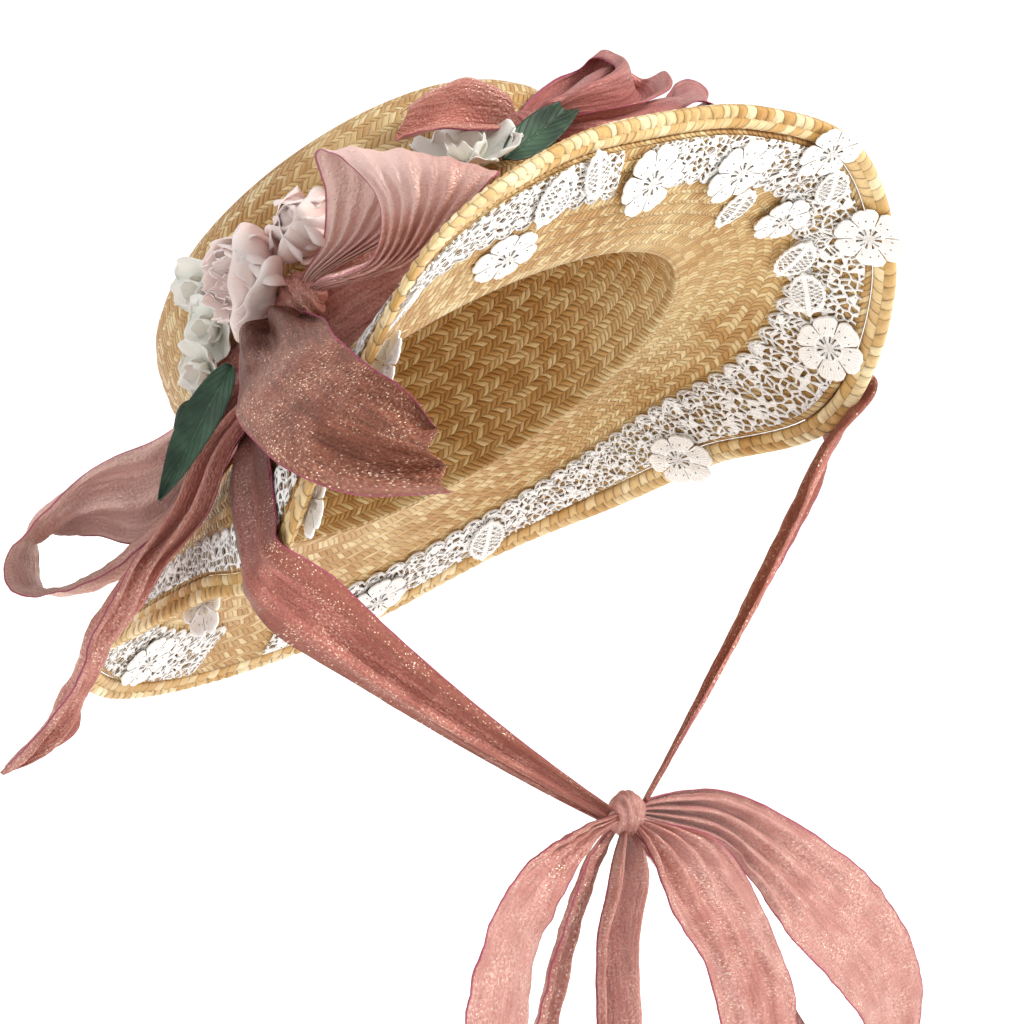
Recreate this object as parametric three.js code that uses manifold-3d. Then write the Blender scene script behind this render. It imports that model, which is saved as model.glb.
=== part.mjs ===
// A sewn straw bonnet, worn tilted far back, trimmed with lace, silk flowers and wide organza ribbon.
// Millimetres, +Z up. The wearer faces -Y, and the wearer's left is +X.
// The origin is the centre of the crown's opening, where the bonnet sits on the head.

import * as THREE from "three";
import Module from "manifold-3d";

const wasm = await Module();
wasm.setup();

// Driving dimensions
const TILT = THREE.MathUtils.degToRad(43); // how far the crown's axis leans back from upright
const GAP = 0.3; // clearance between pieces that touch
const CROWN_RADIUS = 95; // outer radius of the crown at its opening
const CROWN_HEIGHT = 80;
const CROWN_LEAN = 8; // how much higher the crown is in front than its mean
const STRAW_WALL = 2;
const BRIM_WIDTH = 57; // from the crown to the outer edge of the rim, in front
const BRIM_DROP = 52; // how far the brim is pulled down where the straps cross it
const RIM_WIDTH = 9; // the doubled braid at the brim's edge
const RIM_THICKNESS = 4.4;
const RIBBON_WIDTH = 46;
const RIBBON_WALL = 1;
const BAND_WIDTH = 30; // the ribbon round the crown, as it lies folded
const BAND_FOLD_DEPTH = 1.2; // how far its gathers stand out
const LACE_WALL = 1;
const MOTIF_GAP = 0.9; // and so does a lace motif
const LACE_FLOWER_RADIUS = 14;
const LACE_LEAF_LENGTH = 21;
const EDGING_START = 0.6; // the lace edging's inner edge, as a share of the brim's width
const OUTER_EDGING_START = 0.8;
const EDGING_GAP = 0.5; // it bridges the curve of the straw
const KNOT_FORWARD = 87; // the chin knot, ahead of the origin
const KNOT_DROP = 140; // and below it
const CHIN_KNOT_RADIUS = 9;
const SIDE_KNOT_RADIUS = 9;
const TOP_KNOT_RADIUS = 7;
const ROSE_RADIUS = 19;
const BUD_RADIUS = 16;
const BLOSSOM_RADIUS = 12;
const PETAL_WALL = 1.3;
const LEAF_WALL = 1;

// Where the trimmings are sewn on, as an angle round the crown from its front and a height up its wall
const SIDE_SEAT = { angle: -62, height: 28, out: 0 };
const TOP_SEAT = { angle: 0, height: 50, out: 0 };

// The crown's wall, from the opening to the top: radius and height as shares of the crown's own
const CROWN_PROFILE = [
  { radius: 1, height: 0 },
  { radius: 0.99, height: 0.18 },
  { radius: 0.975, height: 0.42 },
  { radius: 0.96, height: 0.66 },
  { radius: 0.93, height: 0.84 },
  { radius: 0.87, height: 0.94 },
  { radius: 0.76, height: 1 },
  { radius: 0.4, height: 1.02 },
  { radius: 0, height: 1.03 },
];

// The brim from front to back, the same on both sides: reach is a share of its width, rise of its drop
const BRIM_SHAPE = [
  { angle: 0, reach: 1, rise: 0.26 },
  { angle: 20, reach: 1.15, rise: 0.19 },
  { angle: 40, reach: 1.39, rise: -0.07 },
  { angle: 60, reach: 1.32, rise: -0.64 },
  { angle: 80, reach: 1.07, rise: -1 },
  { angle: 100, reach: 0.82, rise: -0.66 },
  { angle: 120, reach: 0.98, rise: -0.42 },
  { angle: 140, reach: 1.34, rise: -0.19 },
  { angle: 160, reach: 1.61, rise: -0.15 },
  { angle: 180, reach: 1.72, rise: -0.12 },
];
const BRIM_BEND = 0.55; // where the brim starts to turn down, as a share of its reach

// Lace motifs inside the brim: angle, share of the brim's width, turn in degrees, lift off the straw
// at the motif's outer edge as a share of its size, and size as a share of the full one
const LACE_FLOWERS = [
  { angle: -27, across: 0.36, turn: 10, lift: 0, size: 1 },
  { angle: 1, across: 0.7, turn: 40, lift: 0, size: 1 },
  { angle: 21, across: 0.72, turn: 5, lift: 0, size: 1 },
  { angle: 34, across: 1.02, turn: 60, lift: 0, size: 0.9 },
  { angle: 43, across: 0.56, turn: 20, lift: 0, size: 0.85 },
  { angle: 51, across: 1, turn: 30, lift: 0, size: 1 },
  { angle: 70, across: 0.9, turn: 0, lift: 0, size: 1 },
  { angle: -52, across: 1.1, turn: 15, lift: 0.1, size: 0.85 },
  { angle: -69, across: 1.04, turn: 50, lift: 0, size: 0.85 },
  { angle: -104, across: 1.1, turn: 25, lift: 0, size: 0.9 },
  { angle: -158, across: 0.82, turn: 35, lift: 0, size: 1 },
  { angle: 104, across: 1, turn: 15, lift: 0, size: 0.9 },
  { angle: 158, across: 0.85, turn: 0, lift: 0, size: 1 },
];
const LACE_LEAVES = [
  { angle: -20, across: 0.8, turn: 60, lift: 0, size: 1 },
  { angle: 31, across: 0.43, turn: -60, lift: 0, size: 0.9 },
  { angle: 41, across: 0.88, turn: 150, lift: 0, size: 0.8 },
  { angle: 55, across: 0.62, turn: -30, lift: 0, size: 0.9 },
  { angle: 62, across: 0.72, turn: 200, lift: 0.05, size: 0.9 },
  { angle: -48, across: 0.72, turn: 20, lift: 0, size: 1 },
  { angle: -12, across: 0.86, turn: 100, lift: 0, size: 0.8 },
  { angle: -140, across: 0.85, turn: 70, lift: 0, size: 1 },
  { angle: 140, across: 0.85, turn: 70, lift: 0, size: 1 },
];

// Ribbons, as pairs of edge points in shares of the ribbon's width: along the crown towards the
// front, up the crown's wall and out from it, at the seat that carries them
const SIDE_FRONT_TAIL = [
  { a: [0.0, -0.195, 0.22], b: [-0.12, -0.17, 0.22] },
  { a: [0.03, -0.16, 0.45], b: [-0.45, -0.13, 0.45] },
  { a: [0.22, -0.38, 0.75], b: [-0.52, -0.32, 0.7] },
  { a: [0.4, -0.66, 1.22], b: [-0.57, -0.58, 0.86] },
  { a: [0.55, -0.96, 1.72], b: [-0.6, -0.82, 1.1] },
  { a: [0.66, -1.22, 1.88], b: [-0.43, -1.2, 1.5] },
  { a: [0.74, -1.41, 1.94], b: [-0.23, -1.6, 1.78] },
  { a: [0.86, -1.68, 1.98], b: [0.13, -2.06, 1.86] },
  { a: [0.91, -1.99, 2], b: [0.75, -2.46, 1.92] },
];
const SIDE_FAN_LOOP = [
  { a: [0.1, 0.1, 0.26], b: [0.3, 0.02, 0.24] },
  { a: [0.4, 0.2, 0.3], b: [0.95, -0.1, 0.26] },
  { a: [0.65, 0.45, 0.44], b: [1.5, -0.15, 0.4] },
  { a: [0.82, 0.66, 0.68], b: [1.9, -0.28, 0.6] },
  { a: [1.05, 0.35, 0.92], b: [1.88, -0.36, 0.76] },
  { a: [1.1, -0.05, 0.9], b: [1.6, -0.42, 0.78] },
  { a: [0.8, -0.3, 0.76], b: [1.1, -0.48, 0.7] },
  { a: [0.3, -0.1, 0.56], b: [0.46, -0.24, 0.54] },
];
const SIDE_BACK_LOOP = [
  { a: [-0.35, -0.2, 0.3], b: [-0.42, -0.42, 0.28] },
  { a: [-0.9, -0.3, 0.3], b: [-1.15, -0.75, 0.26] },
  { a: [-1.43, -0.32, 0.36], b: [-1.98, -0.88, 0.24] },
  { a: [-1.84, -0.28, 0.56], b: [-2.28, -0.64, 0.3] },
  { a: [-2.23, -0.32, 0.7], b: [-2.6, -0.38, 0.12] },
  { a: [-2.65, -0.48, 0.84], b: [-2.86, -0.24, -0.08] },
  { a: [-2.84, -0.64, 0.9], b: [-2.98, -0.4, -0.12] },
  { a: [-2.86, -0.84, 0.9], b: [-3.04, -0.62, -0.12] },
  { a: [-2.62, -1.0, 0.8], b: [-2.84, -0.78, -0.14] },
  { a: [-2.3, -1.06, 0.62], b: [-2.54, -0.82, -0.18] },
  { a: [-1.9, -1.0, 0.44], b: [-2.12, -0.9, -0.06] },
  { a: [-1.4, -0.86, 0.24], b: [-1.52, -0.88, 0.12] },
];
const SIDE_BACK_TAIL = [
  { a: [-0.42, -0.47, 0.34], b: [-0.3, -0.56, 0.34] },
  { a: [-1.1, -0.6, 0.46], b: [-0.9, -0.74, 0.45] },
  { a: [-1.6, -0.9, 0.5], b: [-1.38, -1.08, 0.46] },
  { a: [-2.02, -1.1, 0.7], b: [-1.9, -1.22, 0.5] },
  { a: [-2.3, -1.26, 0.76], b: [-2.26, -1.3, 0.36] },
  { a: [-2.56, -1.4, 0.78], b: [-2.64, -1.36, 0.26] },
  { a: [-2.8, -1.58, 0.76], b: [-3.02, -1.44, 0.1] },
  { a: [-3.01, -1.67, 0.74], b: [-3.12, -1.58, 0.22] },
  { a: [-3.31, -1.74, 0.7], b: [-3.18, -1.8, 0.34] },
  { a: [-3.56, -1.79, 0.66], b: [-3.32, -1.84, 0.42] },
  { a: [-3.78, -1.82, 0.62], b: [-3.64, -1.84, 0.56] },
];
const TOP_BACK_LOOP = [
  { a: [-0.185, 0.07, 0.12], b: [-0.185, -0.07, 0.12] },
  { a: [-0.27, 0.3, 0.15], b: [-0.35, -0.06, 0.2] },
  { a: [-0.5, 0.45, 0.16], b: [-0.75, -0.04, 0.24] },
  { a: [-0.9, 0.36, 0.24], b: [-1.1, 0, 0.3] },
  { a: [-1.35, 0.22, 0.3], b: [-1.45, 0.02, 0.32] },
];
const TOP_UPRIGHT_LOOP = [
  { a: [0.07, 0.16, 0.1], b: [0.17, 0.09, 0.14] },
  { a: [0.2, 0.26, 0.06], b: [0.42, -0.02, 0.28] },
  { a: [0.5, 0.42, 0.0], b: [0.78, -0.02, 0.32] },
  { a: [1.0, 0.6, -0.1], b: [1.33, 0.12, 0.24] },
  { a: [1.2, 0.52, 0.02], b: [1.45, 0.05, 0.36] },
  { a: [1.05, 0.26, 0.28], b: [1.2, -0.14, 0.5] },
  { a: [0.6, 0.06, 0.44], b: [0.7, -0.24, 0.58] },
  { a: [0.14, 0.0, 0.42], b: [0.2, -0.14, 0.48] },
];
const TOP_FRONT_LOOP = [
  { a: [0.185, 0.01, 0.12], b: [0.13, -0.12, 0.15] },
  { a: [0.8, -0.12, 0.2], b: [0.45, -0.38, 0.4] },
  { a: [1.54, 0.08, 0.06], b: [1.0, -0.32, 0.48] },
  { a: [2.3, 0.34, -0.14], b: [1.55, -0.2, 0.46] },
  { a: [2.55, 0.25, -0.2], b: [1.8, -0.3, 0.42] },
  { a: [2.35, 0.0, -0.1], b: [1.65, -0.43, 0.46] },
];
// The straps cross the brim and run to the knot: shares of the way from the crown to the rim, and
// of the strap's width in a whole ribbon
const STRAP = { angle: -79, width: 0.64, foldedWidth: 0.66, knotWidth: 0.14 };

// The chin bow, in shares of the ribbon's width from the knot: to the wearer's left, up and forward
const CHIN_RIGHT_LOOP = [
  { a: [-0.19, 0.05, 0.02], b: [-0.19, -0.07, 0.02] },
  { a: [-0.85, 0.12, 0.22], b: [-0.62, -0.12, 0.14] },
  { a: [-1.5, 0.06, 0.35], b: [-0.92, -0.46, 0.14] },
  { a: [-2.0, -0.25, 0.46], b: [-1.2, -0.86, 0.14] },
  { a: [-2.35, -0.85, 0.56], b: [-1.3, -1.4, 0.18] },
  { a: [-2.36, -1.6, 0.56], b: [-1.26, -1.95, 0.2] },
  { a: [-2.1, -2.2, 0.4], b: [-1.15, -2.45, 0.06] },
  { a: [-1.6, -2.3, 0.16], b: [-0.85, -2.4, -0.16] },
  { a: [-1.15, -1.75, 0.06], b: [-0.6, -1.85, -0.24] },
  { a: [-0.85, -1.05, 0.04], b: [-0.4, -1.15, -0.24] },
  { a: [-0.5, -0.45, 0.0], b: [-0.22, -0.52, -0.16] },
  { a: [-0.17, -0.16, -0.06], b: [-0.08, -0.2, -0.1] },
];
const CHIN_LEFT_LOOP = [
  { a: [0.2, 0.08, 0.04], b: [0.2, -0.08, 0.04] },
  { a: [0.85, 0.02, 0.1], b: [0.95, -0.45, 0.12] },
  { a: [1.5, -0.26, 0.14], b: [1.3, -0.85, 0.2] },
  { a: [2.3, -0.8, 0.2], b: [1.55, -1.3, 0.36] },
  { a: [2.9, -1.35, 0.26], b: [1.9, -1.75, 0.5] },
  { a: [3.3, -2.05, 0.32], b: [2.3, -2.25, 0.56] },
  { a: [3.4, -2.75, 0.28], b: [2.5, -2.75, 0.52] },
  { a: [3.15, -3.2, 0.14], b: [2.35, -3.1, 0.4] },
  { a: [2.65, -2.85, -0.1], b: [1.9, -2.6, 0.1] },
  { a: [1.85, -1.75, -0.2], b: [1.2, -1.55, -0.08] },
  { a: [0.85, -0.75, -0.12], b: [0.55, -0.7, -0.06] },
  { a: [0.2, -0.2, -0.08], b: [0.12, -0.22, -0.08] },
];
const CHIN_CENTRE_TAIL = [
  { a: [-0.1, -0.2, 0.0], b: [0.06, -0.21, 0.02] },
  { a: [-0.42, -0.45, 0.16], b: [-0.02, -0.45, 0.2] },
  { a: [-0.6, -0.85, 0.2], b: [-0.2, -0.9, 0.26] },
  { a: [-0.66, -1.5, 0.26], b: [-0.24, -1.55, 0.32] },
  { a: [-0.7, -2.3, 0.3], b: [-0.26, -2.3, 0.38] },
  { a: [-0.66, -3.1, 0.34], b: [-0.2, -3.1, 0.42] },
  { a: [-0.7, -3.8, 0.36], b: [-0.18, -4.1, 0.42] },
];
const CHIN_LEFT_TAIL = [
  { a: [0.02, -0.12, 0.12], b: [0.16, -0.08, 0.1] },
  { a: [0.02, -0.4, 0.3], b: [0.7, -0.3, 0.28] },
  { a: [0.1, -0.75, 0.4], b: [1.05, -0.75, 0.36] },
  { a: [0.35, -1.2, 0.5], b: [1.25, -1.2, 0.44] },
  { a: [0.5, -1.7, 0.56], b: [1.45, -1.7, 0.5] },
  { a: [0.55, -2.4, 0.6], b: [1.55, -2.4, 0.52] },
  { a: [0.5, -3.2, 0.6], b: [1.5, -3.2, 0.54] },
  { a: [0.6, -4.3, 0.6], b: [1.55, -3.9, 0.56] },
];

// Colours from the finished piece
const STRAW = { color: 0xd2ae6a, roughness: 0.62, metalness: 0 };
const LACE = { color: 0xf1ece6, roughness: 0.85, metalness: 0 };
const RIBBON = { color: 0xc27a70, roughness: 0.42, metalness: 0 };
const ROSE = { color: 0xe6c4bf, roughness: 0.7, metalness: 0 };
const WHITE = { color: 0xdfe0d6, roughness: 0.7, metalness: 0 };
const GREEN = { color: 0x35503f, roughness: 0.6, metalness: 0 };

// The hat's own directions: forwards in the opening's plane, to the wearer's left, and up the crown
const FORWARD = new THREE.Vector3(0, -Math.cos(TILT), Math.sin(TILT));
const LEFT = new THREE.Vector3(1, 0, 0);
const CROWNWARD = new THREE.Vector3(0, Math.sin(TILT), Math.cos(TILT));
const CHIN_KNOT = new THREE.Vector3(0, -KNOT_FORWARD, -KNOT_DROP);

const radians = THREE.MathUtils.degToRad;
const vec = (x, y, z) => new THREE.Vector3(x, y, z);

function outwards(angle) {
  const turn = radians(angle);
  return FORWARD.clone().multiplyScalar(Math.cos(turn)).addScaledVector(LEFT, Math.sin(turn));
}

function onHat(angle, radius, height) {
  return outwards(angle).multiplyScalar(radius).addScaledVector(CROWNWARD, height);
}

// A smooth curve through a table's column, flat at both ends
function smooth(rows, at, column, value) {
  const last = rows.length - 1;
  const x = Math.min(Math.max(value, rows[0][at]), rows[last][at]);
  let i = 0;
  while (i < last - 1 && x > rows[i + 1][at]) i++;
  const slope = (k) => {
    if (k <= 0 || k >= last) return 0;
    return (rows[k + 1][column] - rows[k - 1][column]) / (rows[k + 1][at] - rows[k - 1][at]);
  };
  const span = rows[i + 1][at] - rows[i][at];
  const t = (x - rows[i][at]) / span;
  const rest = 1 - t;
  const start = rows[i][column] * (1 + 2 * t) * rest * rest + slope(i) * span * t * rest * rest;
  const end = rows[i + 1][column] * (3 - 2 * t) * t * t - slope(i + 1) * span * rest * t * t;
  return start + end;
}

// The crown's height at an angle, where the radius is a share of the crown's
function crownHeight(angle, share) {
  return CROWN_HEIGHT + CROWN_LEAN * Math.cos(radians(angle)) * share;
}

function onCrown(angle, share, up, inset) {
  const wall = inset * STRAW_WALL;
  const radius = Math.max(share * CROWN_RADIUS - wall, 0);
  const height = up * (crownHeight(angle, share) - wall);
  return onHat(angle, radius, height);
}

// The crown wall's outer radius at a height
function wallRadius(height) {
  const rows = CROWN_PROFILE.slice(0, 5);
  return CROWN_RADIUS * smooth(rows, "height", "radius", height / CROWN_HEIGHT);
}

const BRIM_FOOT = CROWN_RADIUS + GAP;

// A point of the brim's outer face, from the crown (0) to the rim (1)
function onBrim(angle, across) {
  const turned = Math.abs(THREE.MathUtils.euclideanModulo(angle + 180, 360) - 180);
  const reach = BRIM_WIDTH * smooth(BRIM_SHAPE, "angle", "reach", turned) - RIM_WIDTH - 2 * GAP;
  const rise = BRIM_DROP * smooth(BRIM_SHAPE, "angle", "rise", turned);
  const bend = 2 * across * (1 - across) * BRIM_BEND + across * across;
  return onHat(angle, BRIM_FOOT + reach * bend, rise * across * across);
}

function brimNormal(angle, across) {
  const step = 0.01;
  const around = onBrim(angle + 1, across).sub(onBrim(angle - 1, across));
  const along = onBrim(angle, across + step).sub(onBrim(angle, across - step));
  return along.cross(around).normalize();
}

// A point off the brim's outer face: a positive depth goes through the straw towards the head
function besideBrim(angle, across, depth) {
  return onBrim(angle, across).addScaledVector(brimNormal(angle, across), -depth);
}

// A closed body from a list of points and faces, facing out, with equal points joined
function closedGeometry(points, faces) {
  const kept = new Map();
  const positions = [];
  const name = (p) => [p.x, p.y, p.z].map((c) => c.toFixed(4)).join(" ");
  const at = points.map((p) => {
    const key = name(p);
    if (!kept.has(key)) {
      kept.set(key, positions.length / 3);
      positions.push(p.x, p.y, p.z);
    }
    return kept.get(key);
  });
  const joined = faces.map((face) => face.map((i) => at[i]));
  const whole = joined.filter(([a, b, c]) => a !== b && b !== c && c !== a);
  const corner = (i) => vec(...positions.slice(3 * i, 3 * i + 3));
  const volume = whole.reduce((sum, [a, b, c]) => sum + corner(a).dot(corner(b).cross(corner(c))), 0);
  const index = whole.flatMap(([a, b, c]) => (volume < 0 ? [a, c, b] : [a, b, c]));
  const geometry = new THREE.BufferGeometry();
  geometry.setAttribute("position", new THREE.Float32BufferAttribute(positions, 3));
  geometry.setIndex(index);
  return geometry;
}

// A wall between two grids of points of the same size. A wrapped grid closes on itself across.
function wallBetween(outer, inner, wrapped = false) {
  const rows = outer.length;
  const columns = outer[0].length;
  const points = [...outer.flat(), ...inner.flat()];
  const at = (side, i, j) => side * rows * columns + i * columns + (j % columns);
  const faces = [];
  const quad = (a, b, c, d) => faces.push([a, b, c], [a, c, d]);
  const cells = wrapped ? columns : columns - 1;
  for (let i = 0; i < rows - 1; i++) {
    for (let j = 0; j < cells; j++) {
      quad(at(0, i, j), at(0, i, j + 1), at(0, i + 1, j + 1), at(0, i + 1, j));
      quad(at(1, i, j), at(1, i + 1, j), at(1, i + 1, j + 1), at(1, i, j + 1));
    }
  }
  for (let j = 0; j < cells; j++) {
    quad(at(0, 0, j), at(1, 0, j), at(1, 0, j + 1), at(0, 0, j + 1));
    quad(at(0, rows - 1, j), at(0, rows - 1, j + 1), at(1, rows - 1, j + 1), at(1, rows - 1, j));
  }
  if (!wrapped) {
    for (let i = 0; i < rows - 1; i++) {
      quad(at(0, i, 0), at(0, i + 1, 0), at(1, i + 1, 0), at(1, i, 0));
      const end = columns - 1;
      quad(at(0, i, end), at(1, i, end), at(1, i + 1, end), at(0, i + 1, end));
    }
  }
  return closedGeometry(points, faces);
}

// A sheet with a wall, half to each side of a grid of points
function sheet(grid, wall) {
  const rows = grid.length;
  const columns = grid[0].length;
  const side = (sign) =>
    grid.map((row, i) =>
      row.map((point, j) => {
        const down = grid[Math.min(i + 1, rows - 1)][j].clone().sub(grid[Math.max(i - 1, 0)][j]);
        const across = row[Math.min(j + 1, columns - 1)].clone().sub(row[Math.max(j - 1, 0)]);
        const normal = down.cross(across).normalize();
        return point.clone().addScaledVector(normal, (sign * wall) / 2);
      }),
    );
  return wallBetween(side(1), side(-1));
}

function toManifold(geometry) {
  const vertProperties = Float32Array.from(geometry.attributes.position.array);
  const triVerts = Uint32Array.from(geometry.index.array);
  return new wasm.Manifold(new wasm.Mesh({ numProp: 3, vertProperties, triVerts }));
}

function fromManifold(body) {
  const { numProp, vertProperties, triVerts } = body.getMesh();
  const positions = [];
  for (let i = 0; i < vertProperties.length; i += numProp) {
    positions.push(...vertProperties.subarray(i, i + 3));
  }
  const geometry = new THREE.BufferGeometry();
  geometry.setAttribute("position", new THREE.Float32BufferAttribute(positions, 3));
  geometry.setIndex(Array.from(triVerts));
  return geometry;
}

function joined(geometries) {
  const bodies = geometries.map(toManifold);
  return fromManifold(bodies.reduce((whole, body) => whole.add(body)));
}

const bonnet = new THREE.Group();

function add(name, geometry, finish) {
  const mesh = new THREE.Mesh(geometry, new THREE.MeshStandardMaterial(finish));
  mesh.name = name;
  bonnet.add(mesh);
}

const around = (steps, from = -180, to = 180) =>
  Array.from({ length: steps }, (_, i) => from + ((to - from) * i) / steps);
const shares = (steps) => Array.from({ length: steps + 1 }, (_, i) => i / steps);

// Straw: the crown, the brim and the doubled braid at the rim
function crown() {
  const steps = 36;
  const side = (inset) =>
    CROWN_PROFILE.map(({ radius, height }) =>
      around(steps).map((angle) => onCrown(angle, radius, height, inset)),
    );
  return wallBetween(side(0), side(1), true);
}

const BRIM_STEPS = 60;
const BRIM_ROWS = 5;

function brim() {
  const side = (depth) =>
    shares(BRIM_ROWS).map((across) =>
      around(BRIM_STEPS).map((angle) => besideBrim(angle, across, depth)),
    );
  return wallBetween(side(0), side(STRAW_WALL), true);
}

function rimBraid() {
  const halfWidth = RIM_WIDTH / 2;
  const corners = [
    { out: -1, up: -0.6 },
    { out: -1, up: 0.6 },
    { out: 0, up: 1 },
    { out: 1, up: 0.5 },
    { out: 1, up: -0.5 },
    { out: 0, up: -1 },
  ];
  const rings = corners.map(({ out, up }) =>
    around(BRIM_STEPS).map((angle) => {
      const edge = besideBrim(angle, 1, STRAW_WALL / 2);
      const outward = edge.clone().sub(besideBrim(angle, 0.97, STRAW_WALL / 2)).normalize();
      return edge
        .addScaledVector(outward, GAP + halfWidth * (1 + out))
        .addScaledVector(brimNormal(angle, 1), (up * RIM_THICKNESS) / 2);
    }),
  );
  const [first, second, third, fourth, fifth, sixth] = rings;
  return wallBetween([second, third, fourth], [first, sixth, fifth], true);
}

add("crown", crown(), STRAW);
add("brim", brim(), STRAW);
add("rim_braid", rimBraid(), STRAW);

// Lace: edgings inside and outside the rim, and the pierced flowers and leaves over the inner one
function edging(from, to, start, depth) {
  const step = 360 / BRIM_STEPS;
  const angles = Array.from({ length: (to - from) / step + 1 }, (_, i) => from + i * step);
  const rows = shares(BRIM_ROWS).filter((across) => across > start && across < EDGING_END);
  const side = (offset) =>
    [start, ...rows, EDGING_END].map((across) =>
      angles.map((angle) => besideBrim(angle, across, depth + offset)),
    );
  return wallBetween(side(0), side(LACE_WALL));
}

const EDGING_DEPTH = STRAW_WALL + EDGING_GAP;
const EDGING_END = 0.97;
add("lace_edging_right", edging(-174, -6, EDGING_START, EDGING_DEPTH), LACE);
add("lace_edging_left", edging(0, 174, EDGING_START, EDGING_DEPTH), LACE);
add("lace_outer_edging", edging(-174, 174, OUTER_EDGING_START, -EDGING_GAP - LACE_WALL), LACE);

// Bends a flat cut-out onto the brim's inner face, over the edging unless it ends short of that
function bentOntoBrim(shape, motif, reach) {
  const flat = new THREE.ExtrudeGeometry(shape, {
    depth: LACE_WALL,
    bevelEnabled: false,
    curveSegments: 2,
  });
  const centre = onBrim(motif.angle, motif.across);
  const perDegree = onBrim(motif.angle + 1, motif.across).distanceTo(centre);
  const perShare = onBrim(motif.angle, motif.across + 0.02).distanceTo(centre) / 0.02;
  const overEdging = motif.across + reach / perShare > EDGING_START;
  const under = overEdging ? EDGING_DEPTH + LACE_WALL + MOTIF_GAP : EDGING_DEPTH;
  const turn = radians(motif.turn);
  const position = flat.attributes.position;
  const points = [];
  for (let i = 0; i < position.count; i++) {
    const x = position.getX(i) * Math.cos(turn) - position.getY(i) * Math.sin(turn);
    const y = position.getX(i) * Math.sin(turn) + position.getY(i) * Math.cos(turn);
    const stand = motif.lift * Math.max(y + LACE_FLOWER_RADIUS, 0);
    const depth = under + stand + position.getZ(i);
    points.push(besideBrim(motif.angle + x / perDegree, motif.across + y / perShare, depth));
  }
  const faces = [];
  for (let i = 0; i < position.count; i += 3) faces.push([i, i + 1, i + 2]);
  return closedGeometry(points, faces);
}

function laceFlower(motif) {
  const petals = 5;
  const radius = LACE_FLOWER_RADIUS * motif.size;
  const notch = 0.66;
  const shape = new THREE.Shape();
  for (let i = 0; i < petals; i++) {
    const outline = [
      { turn: 0, reach: notch },
      { turn: 0.18, reach: 0.96 },
      { turn: 0.5, reach: 1 },
      { turn: 0.82, reach: 0.96 },
    ];
    for (const { turn, reach } of outline) {
      const angle = (2 * Math.PI * (i + turn)) / petals;
      const point = [radius * reach * Math.cos(angle), radius * reach * Math.sin(angle)];
      if (i === 0 && turn === 0) shape.moveTo(...point);
      else shape.lineTo(...point);
    }
  }
  shape.closePath();
  for (let i = 0; i < petals; i++) {
    const angle = (2 * Math.PI * (i + 0.5)) / petals;
    const inner = 0.2 * radius;
    const outer = 0.4 * radius;
    const spread = 0.09 * radius;
    const dir = new THREE.Vector2(Math.cos(angle), Math.sin(angle));
    const side = new THREE.Vector2(-dir.y, dir.x);
    const hole = new THREE.Path();
    hole.moveTo(dir.x * inner, dir.y * inner);
    hole.lineTo(dir.x * outer - side.x * spread, dir.y * outer - side.y * spread);
    hole.lineTo(dir.x * outer + side.x * spread, dir.y * outer + side.y * spread);
    hole.closePath();
    shape.holes.push(hole);
  }
  return bentOntoBrim(shape, motif, radius);
}

function laceLeaf(motif) {
  const length = LACE_LEAF_LENGTH * motif.size;
  const width = 0.6 * length;
  const outline = [
    { along: -0.5, wide: 0 },
    { along: -0.25, wide: 0.42 },
    { along: 0.05, wide: 0.5 },
    { along: 0.32, wide: 0.3 },
    { along: 0.5, wide: 0 },
  ];
  const shape = new THREE.Shape();
  const back = outline.slice(1, -1).reverse();
  shape.moveTo(outline[0].along * length, 0);
  for (const { along, wide } of outline.slice(1)) shape.lineTo(along * length, wide * width);
  for (const { along, wide } of back) shape.lineTo(along * length, -wide * width);
  shape.closePath();
  const windows = [
    { along: -0.17, wide: 0.19 },
    { along: -0.17, wide: -0.19 },
    { along: 0.12, wide: 0.2 },
    { along: 0.12, wide: -0.2 },
  ];
  const half = 0.085 * length;
  for (const { along, wide } of windows) {
    const hole = new THREE.Path();
    hole.moveTo(along * length - half, wide * width);
    hole.lineTo(along * length, wide * width - half);
    hole.lineTo(along * length + half, wide * width);
    hole.lineTo(along * length, wide * width + half);
    hole.closePath();
    shape.holes.push(hole);
  }
  return bentOntoBrim(shape, motif, length / 2);
}

LACE_FLOWERS.forEach((motif, i) => add(`lace_flower_${i + 1}`, laceFlower(motif), LACE));
LACE_LEAVES.forEach((motif, i) => add(`lace_leaf_${i + 1}`, laceLeaf(motif), LACE));

// The ribbon round the crown's foot, gathered into shallow folds
const BAND_START = 4;

function crownBand() {
  const folds = 18;
  const rows = shares(1).map((share) => BAND_START + share * BAND_WIDTH);
  const side = (offset) =>
    rows.map((height) =>
      around(54).map((angle) => {
        const wave = (1 + Math.cos(radians(angle * folds))) / 2;
        const radius = wallRadius(height) + GAP + offset + BAND_FOLD_DEPTH * wave;
        return onHat(angle, radius, height);
      }),
    );
  return wallBetween(side(RIBBON_WALL), side(0), true);
}
add("crown_band", crownBand(), RIBBON);

// A seat on the crown's wall: its place, and its directions along, up and out
const BAND_OUT = GAP + RIBBON_WALL + BAND_FOLD_DEPTH;

function crownSeat({ angle, height, out }) {
  const outward = outwards(angle);
  const along = CROWNWARD.clone().cross(outward);
  const band = height < BAND_START + BAND_WIDTH ? BAND_OUT : 0;
  const radius = wallRadius(height) + band + out;
  return { origin: onHat(angle, radius, height), along, up: CROWNWARD, out: outward };
}

function atSeat(seat, [along, up, out], unit) {
  return seat.origin
    .clone()
    .addScaledVector(seat.along, along * unit)
    .addScaledVector(seat.up, up * unit)
    .addScaledVector(seat.out, out * unit);
}

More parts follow.
